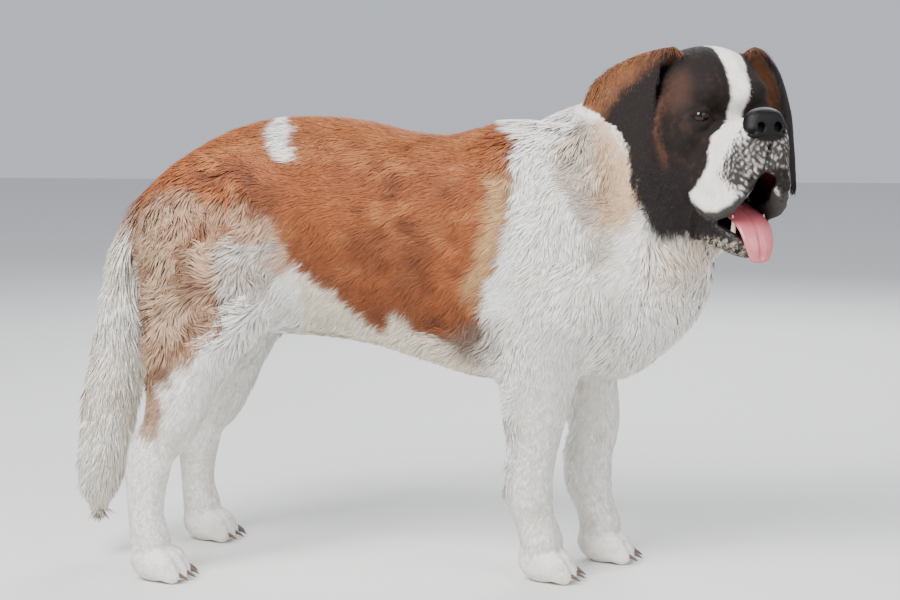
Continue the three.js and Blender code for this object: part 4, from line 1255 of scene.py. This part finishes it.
def tuft_mesh(shape):
    """A closed flat blade one unit long that leaves along z, bends towards x and narrows to a point."""
    rings = shape["rings"]
    points, along, faces = [], [], []
    for r in range(rings):
        t = r / rings
        wide = 0.5 * (1 - t) ** 0.55 * (0.75 + 0.9 * t * (1 - t) * 2)
        thick = 0.07 * (1 - 0.7 * t)
        bend = shape["bend"] * t**1.6
        wave = shape["wave"] * math.sin(t * 7.5) * t
        for across, out in ((-wide, 0), (0, thick), (wide, 0)):
            points.append((bend - out, across + wave, t * (1 - (1 - TUFT_HEIGHT) * t)))
            along.append(t)
    tip = len(points)
    points.append((shape["bend"], shape["wave"] * 0.8, TUFT_HEIGHT))
    along.append(1.0)
    faces.append((0, 1, 2))
    for r in range(rings - 1):
        a, b = 3 * r, 3 * r + 3
        for i in range(3):
            j = (i + 1) % 3
            faces += [(a + i, b + j, a + j), (a + i, b + i, b + j)]
    a = 3 * (rings - 1)
    for i in range(3):
        faces.append((a + i, tip, a + (i + 1) % 3))
    mesh = bpy.data.meshes.new("tuft_" + shape["name"])
    mesh.from_pydata(points, [], faces)
    store(mesh, "along", "FLOAT", along)
    store(mesh, "spot", "FLOAT_VECTOR", [(0.5 + p[1], a, 0.0) for p, a in zip(points, along)])
    mesh.polygons.foreach_set("use_smooth", [True] * len(mesh.polygons))
    return mesh


def coat_tree(material, shapes):
    """Sets a tuft on every root, and joins them all into one mesh."""
    tree = bpy.data.node_groups.new("coat", "GeometryNodeTree")
    face = tree.interface
    face.new_socket("Roots", in_out="INPUT", socket_type="NodeSocketGeometry")
    face.new_socket("Geometry", in_out="OUTPUT", socket_type="NodeSocketGeometry")
    for name, default in (("Length", 1.0), ("Width", 1.0), ("Patch", 0.003)):
        face.new_socket(name, in_out="INPUT", socket_type="NodeSocketFloat").default_value = default
    nodes, links = tree.nodes, tree.links

    def node(kind, settings=None, inputs=None):
        made = nodes.new(kind)
        for key, value in (settings or {}).items():
            setattr(made, key, value)
        for key, value in (inputs or {}).items():
            if hasattr(value, "is_output"):
                links.new(value, made.inputs[key])
            else:
                made.inputs[key].default_value = value
        return made

    def named(attribute, kind):
        made = node("GeometryNodeInputNamedAttribute", {"data_type": kind}, {"Name": attribute})
        return made.outputs["Attribute"]

    def vector(operation, inputs):
        return node("ShaderNodeVectorMath", {"operation": operation}, inputs).outputs[0]

    start = node("NodeGroupInput")
    holder = node("GeometryNodeCollectionInfo", None, {"Collection": shapes, "Separate Children": True})
    stretch = node("ShaderNodeCombineXYZ", None, {"Y": start.outputs["Width"], "Z": start.outputs["Length"]})
    links.new(start.outputs["Length"], stretch.inputs["X"])
    size = vector("MULTIPLY", {0: named("size", "FLOAT_VECTOR"), 1: stretch.outputs[0]})
    grown = node(
        "GeometryNodeInstanceOnPoints",
        None,
        {
            "Points": start.outputs["Roots"],
            "Instance": holder.outputs[0],
            "Pick Instance": True,
            "Instance Index": named("shape", "INT"),
            "Rotation": named("turn", "QUATERNION"),
            "Scale": size,
        },
    )
    real = node("GeometryNodeRealizeInstances", None, {"Geometry": grown.outputs[0]})
    middle = vector("SUBTRACT", {0: named("spot", "FLOAT_VECTOR"), 1: (0.5, 0.5, 0)})
    small = vector("SCALE", {0: middle, "Scale": start.outputs["Patch"]})
    place = vector("ADD", {0: named("place", "FLOAT_VECTOR"), 1: small})
    kept = node(
        "GeometryNodeStoreNamedAttribute",
        {"data_type": "FLOAT2", "domain": "CORNER"},
        {"Geometry": real.outputs[0], "Name": "OFBake", "Value": place},
    )
    painted = node("GeometryNodeSetMaterial", None, {"Geometry": kept.outputs[0], "Material": material})
    node("NodeGroupOutput", None, {"Geometry": painted.outputs[0]})
    return tree


def plain_copy(source, name):
    """What the modifiers of an object make, as a plain mesh."""
    graph = bpy.context.evaluated_depsgraph_get()
    mesh = bpy.data.meshes.new_from_object(source.evaluated_get(graph))
    mesh.name = name
    return mesh


def quaternions(x_axis, y_axis, z_axis):
    """Rotations whose columns are the three axes, as (w, x, y, z)."""
    m = np.stack([x_axis, y_axis, z_axis], -1)
    trace = m[:, 0, 0] + m[:, 1, 1] + m[:, 2, 2]
    choice = np.argmax(np.stack([trace, m[:, 0, 0], m[:, 1, 1], m[:, 2, 2]], 1), 1)
    made = np.zeros((len(m), 4))
    for n in range(4):
        pick = choice == n
        a = m[pick]
        if n == 0:
            s = np.sqrt(trace[pick] + 1) * 2
            parts = [s / 4] + [(a[:, k, j] - a[:, j, k]) / s for j, k in ((1, 2), (2, 0), (0, 1))]
        else:
            i, j, k = n - 1, n % 3, (n + 1) % 3
            s = np.sqrt(np.maximum(1 + a[:, i, i] - a[:, j, j] - a[:, k, k], 1e-12)) * 2
            parts = [None] * 4
            parts[0] = (a[:, k, j] - a[:, j, k]) / s
            parts[1 + i] = s / 4
            parts[1 + j] = (a[:, j, i] + a[:, i, j]) / s
            parts[1 + k] = (a[:, k, i] + a[:, i, k]) / s
        made[pick] = np.stack(parts, 1)
    return made


class Unwrap:
    """A coarse copy of the dog's surface laid out flat, to look up where a root lies on it."""

    made = None

    def __init__(self):
        points, quads, _ = body_clay(UNWRAP_SCALE).surface()
        mesh = bpy.data.meshes.new("unwrap")
        mesh.from_pydata(points.tolist(), [], quads.tolist())
        holder = bpy.data.objects.new("unwrap", mesh)
        bpy.context.scene.collection.objects.link(holder)
        bpy.context.view_layer.objects.active = holder
        for other in bpy.context.selected_objects:
            other.select_set(False)
        holder.select_set(True)
        bpy.ops.object.mode_set(mode="EDIT")
        bpy.ops.mesh.select_all(action="SELECT")
        bpy.ops.uv.smart_project(angle_limit=1.15, island_margin=0.002)
        bpy.ops.object.mode_set(mode="OBJECT")
        flat = np.zeros(len(mesh.loops) * 2, np.float32)
        mesh.uv_layers.active.data.foreach_get("uv", flat)
        flat = flat.reshape(-1, 4, 2)
        loops = np.zeros(len(mesh.loops), np.int32)
        mesh.loops.foreach_get("vertex_index", loops)
        loops = loops.reshape(-1, 4)
        self.corners = points[np.concatenate([loops[:, [0, 1, 2]], loops[:, [0, 2, 3]]])]
        self.flat = np.concatenate([flat[:, [0, 1, 2]], flat[:, [0, 2, 3]]])
        middles = self.corners.mean(1)
        self.tree = KDTree(len(middles))
        for i, p in enumerate(middles):
            self.tree.insert(p, i)
        self.tree.balance()
        bpy.data.objects.remove(holder)
        bpy.data.meshes.remove(mesh)

    @classmethod
    def get(cls):
        if cls.made is None:
            cls.made = cls()
        return cls.made

    def places(self, points):
        """Where points of the body lie on the flat copy."""
        near = np.array([self.tree.find(p)[1] for p in points])
        a, b, c = (self.corners[near][:, n] for n in range(3))
        u, v, w = b - a, c - a, points - a
        uu, uv, vv = (u * u).sum(1), (u * v).sum(1), (v * v).sum(1)
        wu, wv = (w * u).sum(1), (w * v).sum(1)
        under = np.maximum(uu * vv - uv * uv, 1e-9)
        s = np.clip((vv * wu - uv * wv) / under, 0, 1)
        t = np.clip((uu * wv - uv * wu) / under, 0, 1)
        over = np.maximum(s + t, 1)
        s, t = s / over, t / over
        flat = self.flat[near]
        return flat[:, 0] * (1 - s - t)[:, None] + flat[:, 1] * s[:, None] + flat[:, 2] * t[:, None]


def bare(points, labels):
    """Where no tuft may stand: the nose, the eyes, the soles and the inside of the mouth."""
    h = to_head(points)
    nose = np.linalg.norm((h - np.array([186, 0, -56])) / np.array([30, 33, 27]), axis=1) < 1
    eyes = np.zeros(len(points), bool)
    for s in SIDES:
        eyes |= np.linalg.norm(h - np.array([88, 61 * s, -27]), axis=1) < 17.5
    mouth = labels == LABELS.index("mouth")
    lip_edge = (labels == LABELS.index("jaw")) & (h[:, 2] > -182 - 0.45 * (h[:, 0] - 60))
    return nose | eyes | mouth | lip_edge | (points[:, 2] < 6)


def unit(vectors):
    """The vectors, each brought to a length of one."""
    return vectors / np.maximum(np.linalg.norm(vectors, axis=1, keepdims=True), 1e-9)


def scatter(skin, wanted, thickness, rng):
    """Random places on some of the skin: the corners round each, their shares, and its label."""
    tri = skin.triangles
    labels = skin.labels[tri[:, 0]]
    mine = labelled(labels, *wanted)
    tri, labels = tri[mine], labels[mine]
    a, b, c = (skin.outer[tri[:, n]] for n in range(3))
    area = np.linalg.norm(np.cross(b - a, c - a), axis=1) / 200
    number = skin.grow[tri].mean(1)[:, 3]
    weight = area * number * thickness * ~bare((a + b + c) / 3, labels)
    count = int(weight.sum())
    chosen = np.searchsorted(np.cumsum(weight), rng.uniform(0, weight.sum(), count))
    chosen = np.clip(chosen, 0, len(tri) - 1)
    u, v = rng.uniform(size=(2, count))
    fold = u + v > 1
    u, v = np.where(fold, 1 - u, u), np.where(fold, 1 - v, v)
    share = np.stack([1 - u - v, u, v], 1)[..., None]
    return tri[chosen], share, labels[chosen]


def swing_of(points, length, on_tail, seed):
    """How far the hair swings to one side of its lie, in radians: in waves, and most on the thigh."""
    swing = 0.55 * ripple(points, 95, seed + 5, 2) * ramp(length, 14, 40)
    swing += 0.28 * ripple(points, 24, seed + 6, 2)
    thigh = ramp(-points[:, 0], 190, 250) * ramp(points[:, 2], 330, 420) * ramp(-points[:, 2], -720, -640)
    swing += 1.0 * thigh * ripple(points, 78, 61, 2)
    return swing * (1 - 0.75 * on_tail)


def sow(skin, wanted, thickness, seed):
    """Roots for the tufts of some of the skin, with all that each tuft needs."""
    rng = np.random.default_rng(seed)
    faces, share, labels = scatter(skin, wanted, thickness, rng)
    count = len(faces)
    on_tail = labelled(labels, "tail")

    def at(values):
        return (values[faces] * share).sum(1)

    points, normal, grow, lie = at(skin.points), unit(at(skin.normals)), at(skin.grow), at(skin.lie)
    colour = at(skin.colours)
    depth, length, width = grow[:, 0], grow[:, 1], grow[:, 2]
    length = length * rng.uniform(0.72, 1.12, count)
    depth = depth * rng.uniform(0.7, 1.04, count) * ramp(points[:, 2], -4, 22)
    depth = np.maximum(depth, 0.5)

    # The way each tuft points: along the lie, swung aside and raised to the coat's depth
    flow = unit(lie - normal * (lie * normal).sum(1, keepdims=True))
    cross = np.cross(normal, flow)
    swing = swing_of(points, length, on_tail, seed)
    swing += rng.normal(size=count) * (0.10 + 0.06 * ramp(length, 30, 80))
    flow = flow * np.cos(swing)[:, None] + cross * np.sin(swing)[:, None]
    rise = np.arcsin(np.clip(1.7 * depth / (TUFT_HEIGHT * length), 0.12, 0.92))
    way = flow * np.cos(rise)[:, None] + normal * np.sin(rise)[:, None]
    down = unit(-(normal - way * (normal * way).sum(1, keepdims=True)))

    # Its shape, and how far it bends back to the body
    locks = 2 + (rng.uniform(size=count) < 0.45)
    shape = np.where(length > LOCK_FROM, locks, np.where(length > FLAT_FROM, 1, 0))
    bends = np.array([s["bend"] for s in TUFT_SHAPES])[shape]
    drop = np.maximum(TUFT_HEIGHT * length * np.sin(rise) - depth, 0.1 * depth) / (bends * np.cos(rise))
    size = np.stack([drop, width * rng.uniform(0.75, 1.2, count), length], 1)
    level = np.where(on_tail, np.hypot(normal[:, 0], normal[:, 1]) ** 2, 1.0)
    tone = 1 + 0.09 * rng.normal(size=count) + 0.12 * ripple(points, 12, seed + 9, 2)
    return {
        "points": points - normal * 1.2,
        "turn": quaternions(down, np.cross(way, down), way),
        "size": size / 1000,
        "shape": shape,
        "coat": np.clip(colour * np.clip(tone, 0.6, 1.45)[:, None], 0.002, 0.95),
        "facing": normal * (level * (0.62 - 0.27 * ramp(length, 30, 60)))[:, None],
        "on_skin": at(skin.outer),
    }


def soften_shading(mesh):
    """Turns the shading of the tufts towards that of the body they lie on, of short ones the most."""
    own, body = np.zeros((2, len(mesh.vertices), 3), np.float32)
    mesh.vertex_normals.foreach_get("vector", own.reshape(-1))
    mesh.attributes["facing"].data.foreach_get("vector", body.reshape(-1))
    share = np.linalg.norm(body, axis=1, keepdims=True)
    body /= np.maximum(share, 1e-6)
    share *= ramp((own * body).sum(1, keepdims=True), -0.9, -0.3)
    mixed = own * (1 - share) + body * share
    mixed /= np.maximum(np.linalg.norm(mixed, axis=1, keepdims=True), 1e-6)
    mesh.normals_split_custom_set_from_vertices(mixed.tolist())


def roots_of(sown, places, pick):
    """Some of the sown roots as a mesh of points, each with what its tuft needs."""
    roots = bpy.data.meshes.new("roots")
    roots.from_pydata(((sown["points"][pick] - SHIFT) / 1000).tolist(), [], [])
    store(roots, "turn", "QUATERNION", sown["turn"][pick])
    store(roots, "size", "FLOAT_VECTOR", sown["size"][pick])
    store(roots, "shape", "INT", sown["shape"][pick])
    store(roots, "coat", "FLOAT_COLOR", rgba_of(sown["coat"][pick]))
    store(roots, "facing", "FLOAT_VECTOR", sown["facing"][pick])
    store(roots, "place", "FLOAT_VECTOR", np.c_[places[pick], np.zeros(len(pick))])
    source = bpy.data.objects.new("roots", roots)
    bpy.context.scene.collection.objects.link(source)
    return source


def grow_coat(name, sown, sizes):
    """Turns sown roots into pieces of coat, none of them too big to bake."""
    hair = bpy.data.materials.get("dog_hair") or hair_finish()
    shapes = bpy.data.collections.new("tufts")
    for shape in TUFT_SHAPES:
        blade = bpy.data.objects.new(f"{len(shapes.objects)}_" + shape["name"], tuft_mesh(shape))
        shapes.objects.link(blade)
    tree = coat_tree(hair, shapes)
    faces_each = np.array([len(o.data.polygons) for o in shapes.objects])[sown["shape"]]
    order = np.argsort(sown["points"][:, 0], kind="stable")
    parts = max(1, math.ceil(faces_each.sum() / COAT_LIMIT))
    bands = np.floor(np.cumsum(faces_each[order]) / (faces_each.sum() + 1) * parts).astype(int)
    places = Unwrap.get().places(sown["on_skin"])
    for band in range(parts):
        source = roots_of(sown, places, order[bands == band])
        live = source.modifiers.new("coat", "NODES")
        live.node_group = tree
        for item in tree.interface.items_tree:
            if item.in_out == "INPUT" and item.name in sizes:
                live[item.identifier] = sizes[item.name]
        full = name if parts == 1 else f"{name}_{band + 1}"
        mesh = plain_copy(source, full)
        bpy.data.objects.remove(source)
        soften_shading(mesh)
        for key in ("turn", "size", "shape", "place", "spot", "facing"):
            if key in mesh.attributes:
                mesh.attributes.remove(mesh.attributes[key])
        new_piece(full, mesh, [], hair)
    for blade in list(shapes.objects):
        bpy.data.objects.remove(blade)
    bpy.data.collections.remove(shapes)


# The sidebar's settings


def colour_setting(name, values, what):
    """A colour that the sidebar shows, given as linear light."""
    return bpy.props.FloatVectorProperty(
        name=name, description=f"Colour of {what}", subtype="COLOR", min=0.0, max=1.0, default=tuple(values)
    )


def share_setting(name, what):
    """A share of the modelled size or number that the sidebar shows."""
    limits = {"min": 0.1, "max": 2.0}
    return bpy.props.FloatProperty(name=name, description=what, subtype="FACTOR", default=1.0, **limits)


class CoatSettings(bpy.types.PropertyGroup):
    """Sizes and number of the tufts"""

    length: share_setting("Length", "Tuft length beside the modelled one")
    width: share_setting("Width", "Tuft width beside the modelled one")
    thickness: share_setting("Thickness", "Number of tufts beside the modelled one")
    seed: bpy.props.IntProperty(name="Seed", description="Start of the random numbers", default=4)


class HeadSettings(bpy.types.PropertyGroup):
    """Colours of the bare parts"""

    iris: colour_setting("Iris", linear((30, 15, 8)), "the iris")
    nose: colour_setting("Nose", linear((6, 5, 6)), "the nose")
    tongue: colour_setting("Tongue", linear((205, 112, 118)), "the tongue")
    claw: colour_setting("Claws", linear((92, 78, 68)), "the claws")


class StageSettings(bpy.types.PropertyGroup):
    """The floor's colour and the strength of the light"""

    floor: colour_setting("Floor", (0.72, 0.72, 0.7), "the floor")
    key_power: bpy.props.FloatProperty(
        name="Key light", description="Strength of the key light", unit="POWER", default=430.0
    )


class DOG_OT_skin(bpy.types.Operator):
    """Draws one skin round the whole dog, under the coat"""

    bl_idname = "dog.skin"
    bl_label = "Skin"

    def execute(self, context):
        skin = Skin.get()
        mesh = new_mesh("skin", skin.points, skin.quads)
        paint(mesh, "coat", skin.colours)
        store(mesh, "wet", "FLOAT", skin.wet)
        nodes = ["torso", "neck", "head", "ear_right", "ear_left", "jaw", "tail"]
        nodes += [f"{leg}_{side}" for leg in ("foreleg", "hindleg") for side in ("right", "left")]
        source = bpy.data.objects.new("skin_source", mesh)
        context.scene.collection.objects.link(source)
        held = source.vertex_groups.new(name="held")
        keep = ramp(to_head(skin.points)[:, 0], -20, 40) * (skin.labels >= LABELS.index("hindleg"))
        for weight in (0.5, 1.0):
            held.add(np.nonzero(keep >= weight)[0].tolist(), weight, "REPLACE")
        thin = source.modifiers.new("thin", "DECIMATE")
        thin.ratio = min(1.0, SKIN_LIMIT / (2 * len(skin.quads)))
        thin.vertex_group = "held"
        thin.invert_vertex_group = True
        thin.vertex_group_factor = 3.0
        made = plain_copy(source, "skin")
        bpy.data.objects.remove(source)
        made.polygons.foreach_set("use_smooth", [True] * len(made.polygons))
        new_piece("skin", made, nodes, skin_finish())
        return {"FINISHED"}


class DOG_OT_coat(bpy.types.Operator):
    """Grows the coat on the skin, in tufts that follow its lie"""

    bl_idname = "dog.coat"
    bl_label = "Coat"

    def execute(self, context):
        skin = Skin.get()
        settings = context.scene.dog_coat
        regions = (
            ("coat_trunk", ("trunk",), "torso"),
            ("coat_neck", ("neck", "dewlap"), "neck"),
            ("coat_chest", ("bib", "shoulder"), "neck"),
            ("coat_forelegs", ("foreleg",), "foreleg"),
            ("coat_hindlegs", ("hindleg",), "hindleg"),
            ("coat_paws", ("paw",), "foreleg"),
            ("coat_tail", ("tail",), "tail"),
            ("coat_head", ("skull", "lids"), "head"),
            ("coat_muzzle", ("muzzle", "flews", "jaw"), "head"),
            ("coat_ears", ("ear",), "ear"),
        )
        for number, (name, labels, slot_name) in enumerate(regions):
            sown = sow(skin, labels, settings.thickness, settings.seed + 20 * number)
            grow_coat(name, sown, {"Length": settings.length, "Width": settings.width})
        return {"FINISHED"}


def drawn_piece(name, fill, low, high, cell):
    """A small piece drawn finely from its masses, in the head's frame."""
    corners = from_head(list(itertools.product(*zip(low, high))))
    a, b = corners.min(0) - 4 * cell, corners.max(0) + 4 * cell
    clay = Clay([np.arange(a[n], b[n] + cell, cell) for n in range(3)])
    fill(clay)
    points, quads, _ = clay.surface()
    return new_mesh(name, points, quads)


def iris_colour(a, b, iris):
    """The eye's colour at the angle a from its middle and b around it."""
    if a < PUPIL_END:
        return EYE_BLACK
    if a < IRIS_END:
        streak = 1 + 0.25 * math.sin(17 * b) * math.sin(5 * b + 1)
        return iris * (0.7 + 0.7 * math.exp(-(((a - 0.62) / 0.16) ** 2))) * streak
    return EYE_RIM if a < RIM_END else SHADED_EYE_WHITE


def tube_faces(rings, around, first=0, flip=False):
    """Quads between rings of points that follow one another, the first of them at number first."""
    faces = []
    for r in range(rings - 1):
        for i in range(around):
            a, b = first + r * around, first + (r + 1) * around
            j = (i + 1) % around
            faces.append((a + i, a + j, b + j, b + i) if flip else (a + i, b + i, b + j, a + j))
    return faces


class DOG_OT_eyes(bpy.types.Operator):
    """Makes the two eyeballs, each with its pupil, iris and rim"""

    bl_idname = "dog.eyes"
    bl_label = "Eyes"

    def execute(self, context):
        iris = np.array(context.scene.dog_head.iris)
        finish = Finish("dog_eye", Roughness=0.1, Specular_IOR_Level=0.3)
        finish.feed("Base Color", finish.colour_of("coat"))
        for side, name in ((RIGHT, "eye_right"), (LEFT, "eye_left")):
            gaze = Vector((0.92, 0.36 * side, 0.02)).normalized()
            turn = np.array(gaze.to_track_quat("Z", "Y").to_matrix())
            points, colours = [], []
            for r in range(EYE_RINGS + 1):
                a = math.pi * r / EYE_RINGS
                radius = EYE_RADIUS * (1 + 0.035 * math.exp(-((a / 0.55) ** 2)))
                for i in range(EYE_AROUND):
                    b = 2 * math.pi * i / EYE_AROUND
                    p = radius * np.array([math.sin(a) * math.cos(b), math.sin(a) * math.sin(b), math.cos(a)])
                    points.append(turn @ p)
                    colours.append(iris_colour(a, b, iris))
            centre = np.array([EYE_AT[0], EYE_AT[1] * side, EYE_AT[2]])
            faces = tube_faces(EYE_RINGS + 1, EYE_AROUND)
            mesh = new_mesh(name, from_head(np.array(points) + centre), faces)
            paint(mesh, "coat", np.array(colours))
            tidy_poles(mesh)
            new_piece(name + "_ball", mesh, [name], finish.material)
        return {"FINISHED"}


def tidy_poles(mesh):
    """Joins points that lie on one another, drops the empty faces and turns the faces outwards."""
    shape = bmesh.new()
    shape.from_mesh(mesh)
    bmesh.ops.remove_doubles(shape, verts=shape.verts, dist=1e-6)
    bmesh.ops.dissolve_degenerate(shape, edges=shape.edges, dist=1e-7)
    bmesh.ops.recalc_face_normals(shape, faces=shape.faces)
    shape.to_mesh(mesh)
    shape.free()
    mesh.update()


class DOG_OT_nose(bpy.types.Operator):
    """Makes the nose, with its two nostrils and the groove below"""

    bl_idname = "dog.nose"
    bl_label = "Nose"

    def execute(self, context):
        def fill(clay):
            def egg(*values):
                clay.egg(*values, "muzzle", head=True)

            def cut(stations, soft):
                clay.limb(stations, soft, "mouth", head=True, carve=True)

            egg((176, 0, -57), (22, 35, 26), 4)
            egg((181, 0, -46), (19, 32, 17), 10)
            for s in SIDES:
                egg((181, 20 * s, -63), (18, 18, 16), 7)
            for s in SIDES:
                cut([(204, 14 * s, -63, 8, 7), (187, 17 * s, -60, 7, 7)], 3)
                cut([(201, 22 * s, -70, 3.6, 3.6), (182, 36 * s, -68, 3, 3)], 2)
            cut([(204, 0, -60, 2, 1.5), (204, 0, -84, 2.2, 1.8)], 3)

        black = (*context.scene.dog_head.nose, 1)
        finish = Finish("nose_leather", Roughness=0.42, Specular_IOR_Level=0.22, Base_Color=black)
        cells = finish.node("ShaderNodeTexVoronoi", inputs={"Vector": finish.place(), "Scale": 620.0})
        finish.bumped(cells, 0.55, 0.0008)
        mesh = drawn_piece("nose_pad", fill, (150, -42, -86), (206, 42, -24), 1.7)
        new_piece("nose_pad", mesh, ["nose"], finish.material)
        return {"FINISHED"}


class DOG_OT_tongue(bpy.types.Operator):
    """Makes the tongue that hangs from the mouth, and the two lower canine teeth"""

    bl_idname = "dog.tongue"
    bl_label = "Tongue and teeth"

    def execute(self, context):
        def fill(clay):
            clay.limb(TONGUE, 4, "mouth", head=True)
            groove = [(s[0] + 0.5 * s[3] + 4, 0, s[2] + 0.8 * s[3], 3, 2.4) for s in TONGUE[1:]]
            clay.limb(groove, 5, "mouth", head=True, carve=True)

        finish = Finish("tongue_flesh", Roughness=0.34, Coat_Weight=0.5, Coat_Roughness=0.15)
        pink = (*context.scene.dog_head.tongue, 1)
        finish.feed("Base Color", finish.mixed(pink, (0.34, 0.07, 0.085, 1), finish.noise(38.0)))
        finish.bumped(finish.noise(900.0), 0.35, 0.0006)
        mesh = drawn_piece("tongue_flesh", fill, (20, -36, -285), (150, 36, -145), 2.2)
        new_piece("tongue_flesh", mesh, ["tongue"], finish.material)

        def teeth(clay):
            for s in SIDES:
                clay.limb(mirrored(TOOTH, s), 2, "mouth", head=True)

        ivory = Finish("tooth", Roughness=0.3, Coat_Weight=0.3, Base_Color=(*IVORY, 1))
        mesh = drawn_piece("teeth", teeth, (96, -36, -234), (118, 36, -188), 1.3)
        new_piece("teeth", mesh, [], ivory.material)
        return {"FINISHED"}


class DOG_OT_claws(bpy.types.Operator):
    """Makes the four claws of every paw"""

    bl_idname = "dog.claws"
    bl_label = "Claws"

    def execute(self, context):
        points, faces = [], []
        rings, around = CLAW["rings"], CLAW["around"]
        for x, y in PAWS:
            for across in TOES:
                root = toe_end(x, across) + 6
                first = len(points)
                for r in range(rings):
                    t = r / (rings - 1)
                    thick = CLAW["thick"] * (1 - t) ** 0.7 + 0.25
                    middle = y + across * PAW["width"] / 2
                    centre = (root + CLAW["length"] * t, middle, CLAW["high"] - 10 * t * t)
                    for i in range(around):
                        b = 2 * math.pi * i / around
                        off = (0.4 * thick * math.sin(b) * t, 0.75 * thick * math.cos(b), thick * math.sin(b))
                        points.append([c + o for c, o in zip(centre, off)])
                faces += tube_faces(rings, around, first, flip=True)
                faces.append([first + i for i in range(around)][::-1])
                faces.append([first + (rings - 1) * around + i for i in range(around)])
        mesh = new_mesh("claws", points, faces)
        tidy_poles(mesh)
        horn = Finish("claw_horn", Roughness=0.4, Base_Color=(*context.scene.dog_head.claw, 1))
        new_piece("claws", mesh, [], horn.material)
        return {"FINISHED"}


class DOG_OT_stage(bpy.types.Operator):
    """Sets the floor, the lights and the camera of the photograph"""

    bl_idname = "dog.stage"
    bl_label = "Stage"

    def execute(self, context):
        scene = context.scene
        settings = scene.dog_stage
        floor = bpy.data.meshes.new("floor")
        corners = [(FLOOR_HALF * a, FLOOR_HALF * b, 0) for a, b in ((-1, -1), (1, -1), (1, 1), (-1, 1))]
        floor.from_pydata(corners, [], [(0, 1, 2, 3)])
        floor.materials.append(Finish("floor_paint", Roughness=0.9, Base_Color=(*settings.floor, 1)).material)
        ground = bpy.data.objects.new("floor", floor)
        scene.collection.objects.link(ground)
        world = bpy.data.worlds.new("studio")
        scene.world = world
        world.use_nodes = True
        for key, value in SKY.items():
            world.node_tree.nodes["Background"].inputs[key].default_value = value
        for name, place, share, size in LIGHTS:
            light = bpy.data.lights.new(name, "AREA")
            light.energy = settings.key_power * share
            light.size = size
            lamp = bpy.data.objects.new(name, light)
            lamp.location = place
            lamp.rotation_euler = (Vector(LIT_POINT) - Vector(place)).to_track_quat("-Z", "Y").to_euler()
            scene.collection.objects.link(lamp)
        camera = bpy.data.objects.new("camera", bpy.data.cameras.new("camera"))
        camera.data.lens = CAMERA_LENS
        camera.location = Vector(CAMERA_AT) - Vector(SHIFT / 1000)
        camera.rotation_euler = Euler([math.radians(angle) for angle in CAMERA_TURN], "XYZ")
        scene.collection.objects.link(camera)
        scene.camera = camera
        return {"FINISHED"}


class DOG_PT_panel(bpy.types.Panel):
    """Lists the pieces of the dog"""

    bl_idname = "DOG_PT_panel"
    bl_label = "Saint Bernard"
    bl_space_type = "VIEW_3D"
    bl_region_type = "UI"
    bl_category = "Saint Bernard"

    def draw(self, context):
        for group in (context.scene.dog_coat, context.scene.dog_head, context.scene.dog_stage):
            box = self.layout.box()
            for key in group.bl_rna.properties.keys():
                if key not in ("rna_type", "name"):
                    box.prop(group, key)
        for operator in OPERATORS:
            self.layout.operator(operator.bl_idname)


OPERATORS = (DOG_OT_skin, DOG_OT_coat, DOG_OT_eyes, DOG_OT_nose, DOG_OT_tongue, DOG_OT_claws, DOG_OT_stage)
GROUPS = {"dog_coat": CoatSettings, "dog_head": HeadSettings, "dog_stage": StageSettings}


def register():
    for group in GROUPS.values():
        bpy.utils.register_class(group)
    for name, group in GROUPS.items():
        setattr(bpy.types.Scene, name, bpy.props.PointerProperty(type=group))
    for operator in OPERATORS:
        bpy.utils.register_class(operator)
    bpy.utils.register_class(DOG_PT_panel)


def unregister():
    bpy.utils.unregister_class(DOG_PT_panel)
    for operator in reversed(OPERATORS):
        bpy.utils.unregister_class(operator)
    for name in GROUPS:
        delattr(bpy.types.Scene, name)
    for group in reversed(list(GROUPS.values())):
        bpy.utils.unregister_class(group)


def main():
    """Registers the add-on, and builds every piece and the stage."""
    register()
    bpy.ops.dog.skin()
    bpy.ops.dog.coat()
    bpy.ops.dog.eyes()
    bpy.ops.dog.nose()
    bpy.ops.dog.tongue()
    bpy.ops.dog.claws()
    bpy.ops.dog.stage()


if __name__ == "__main__":
    main()
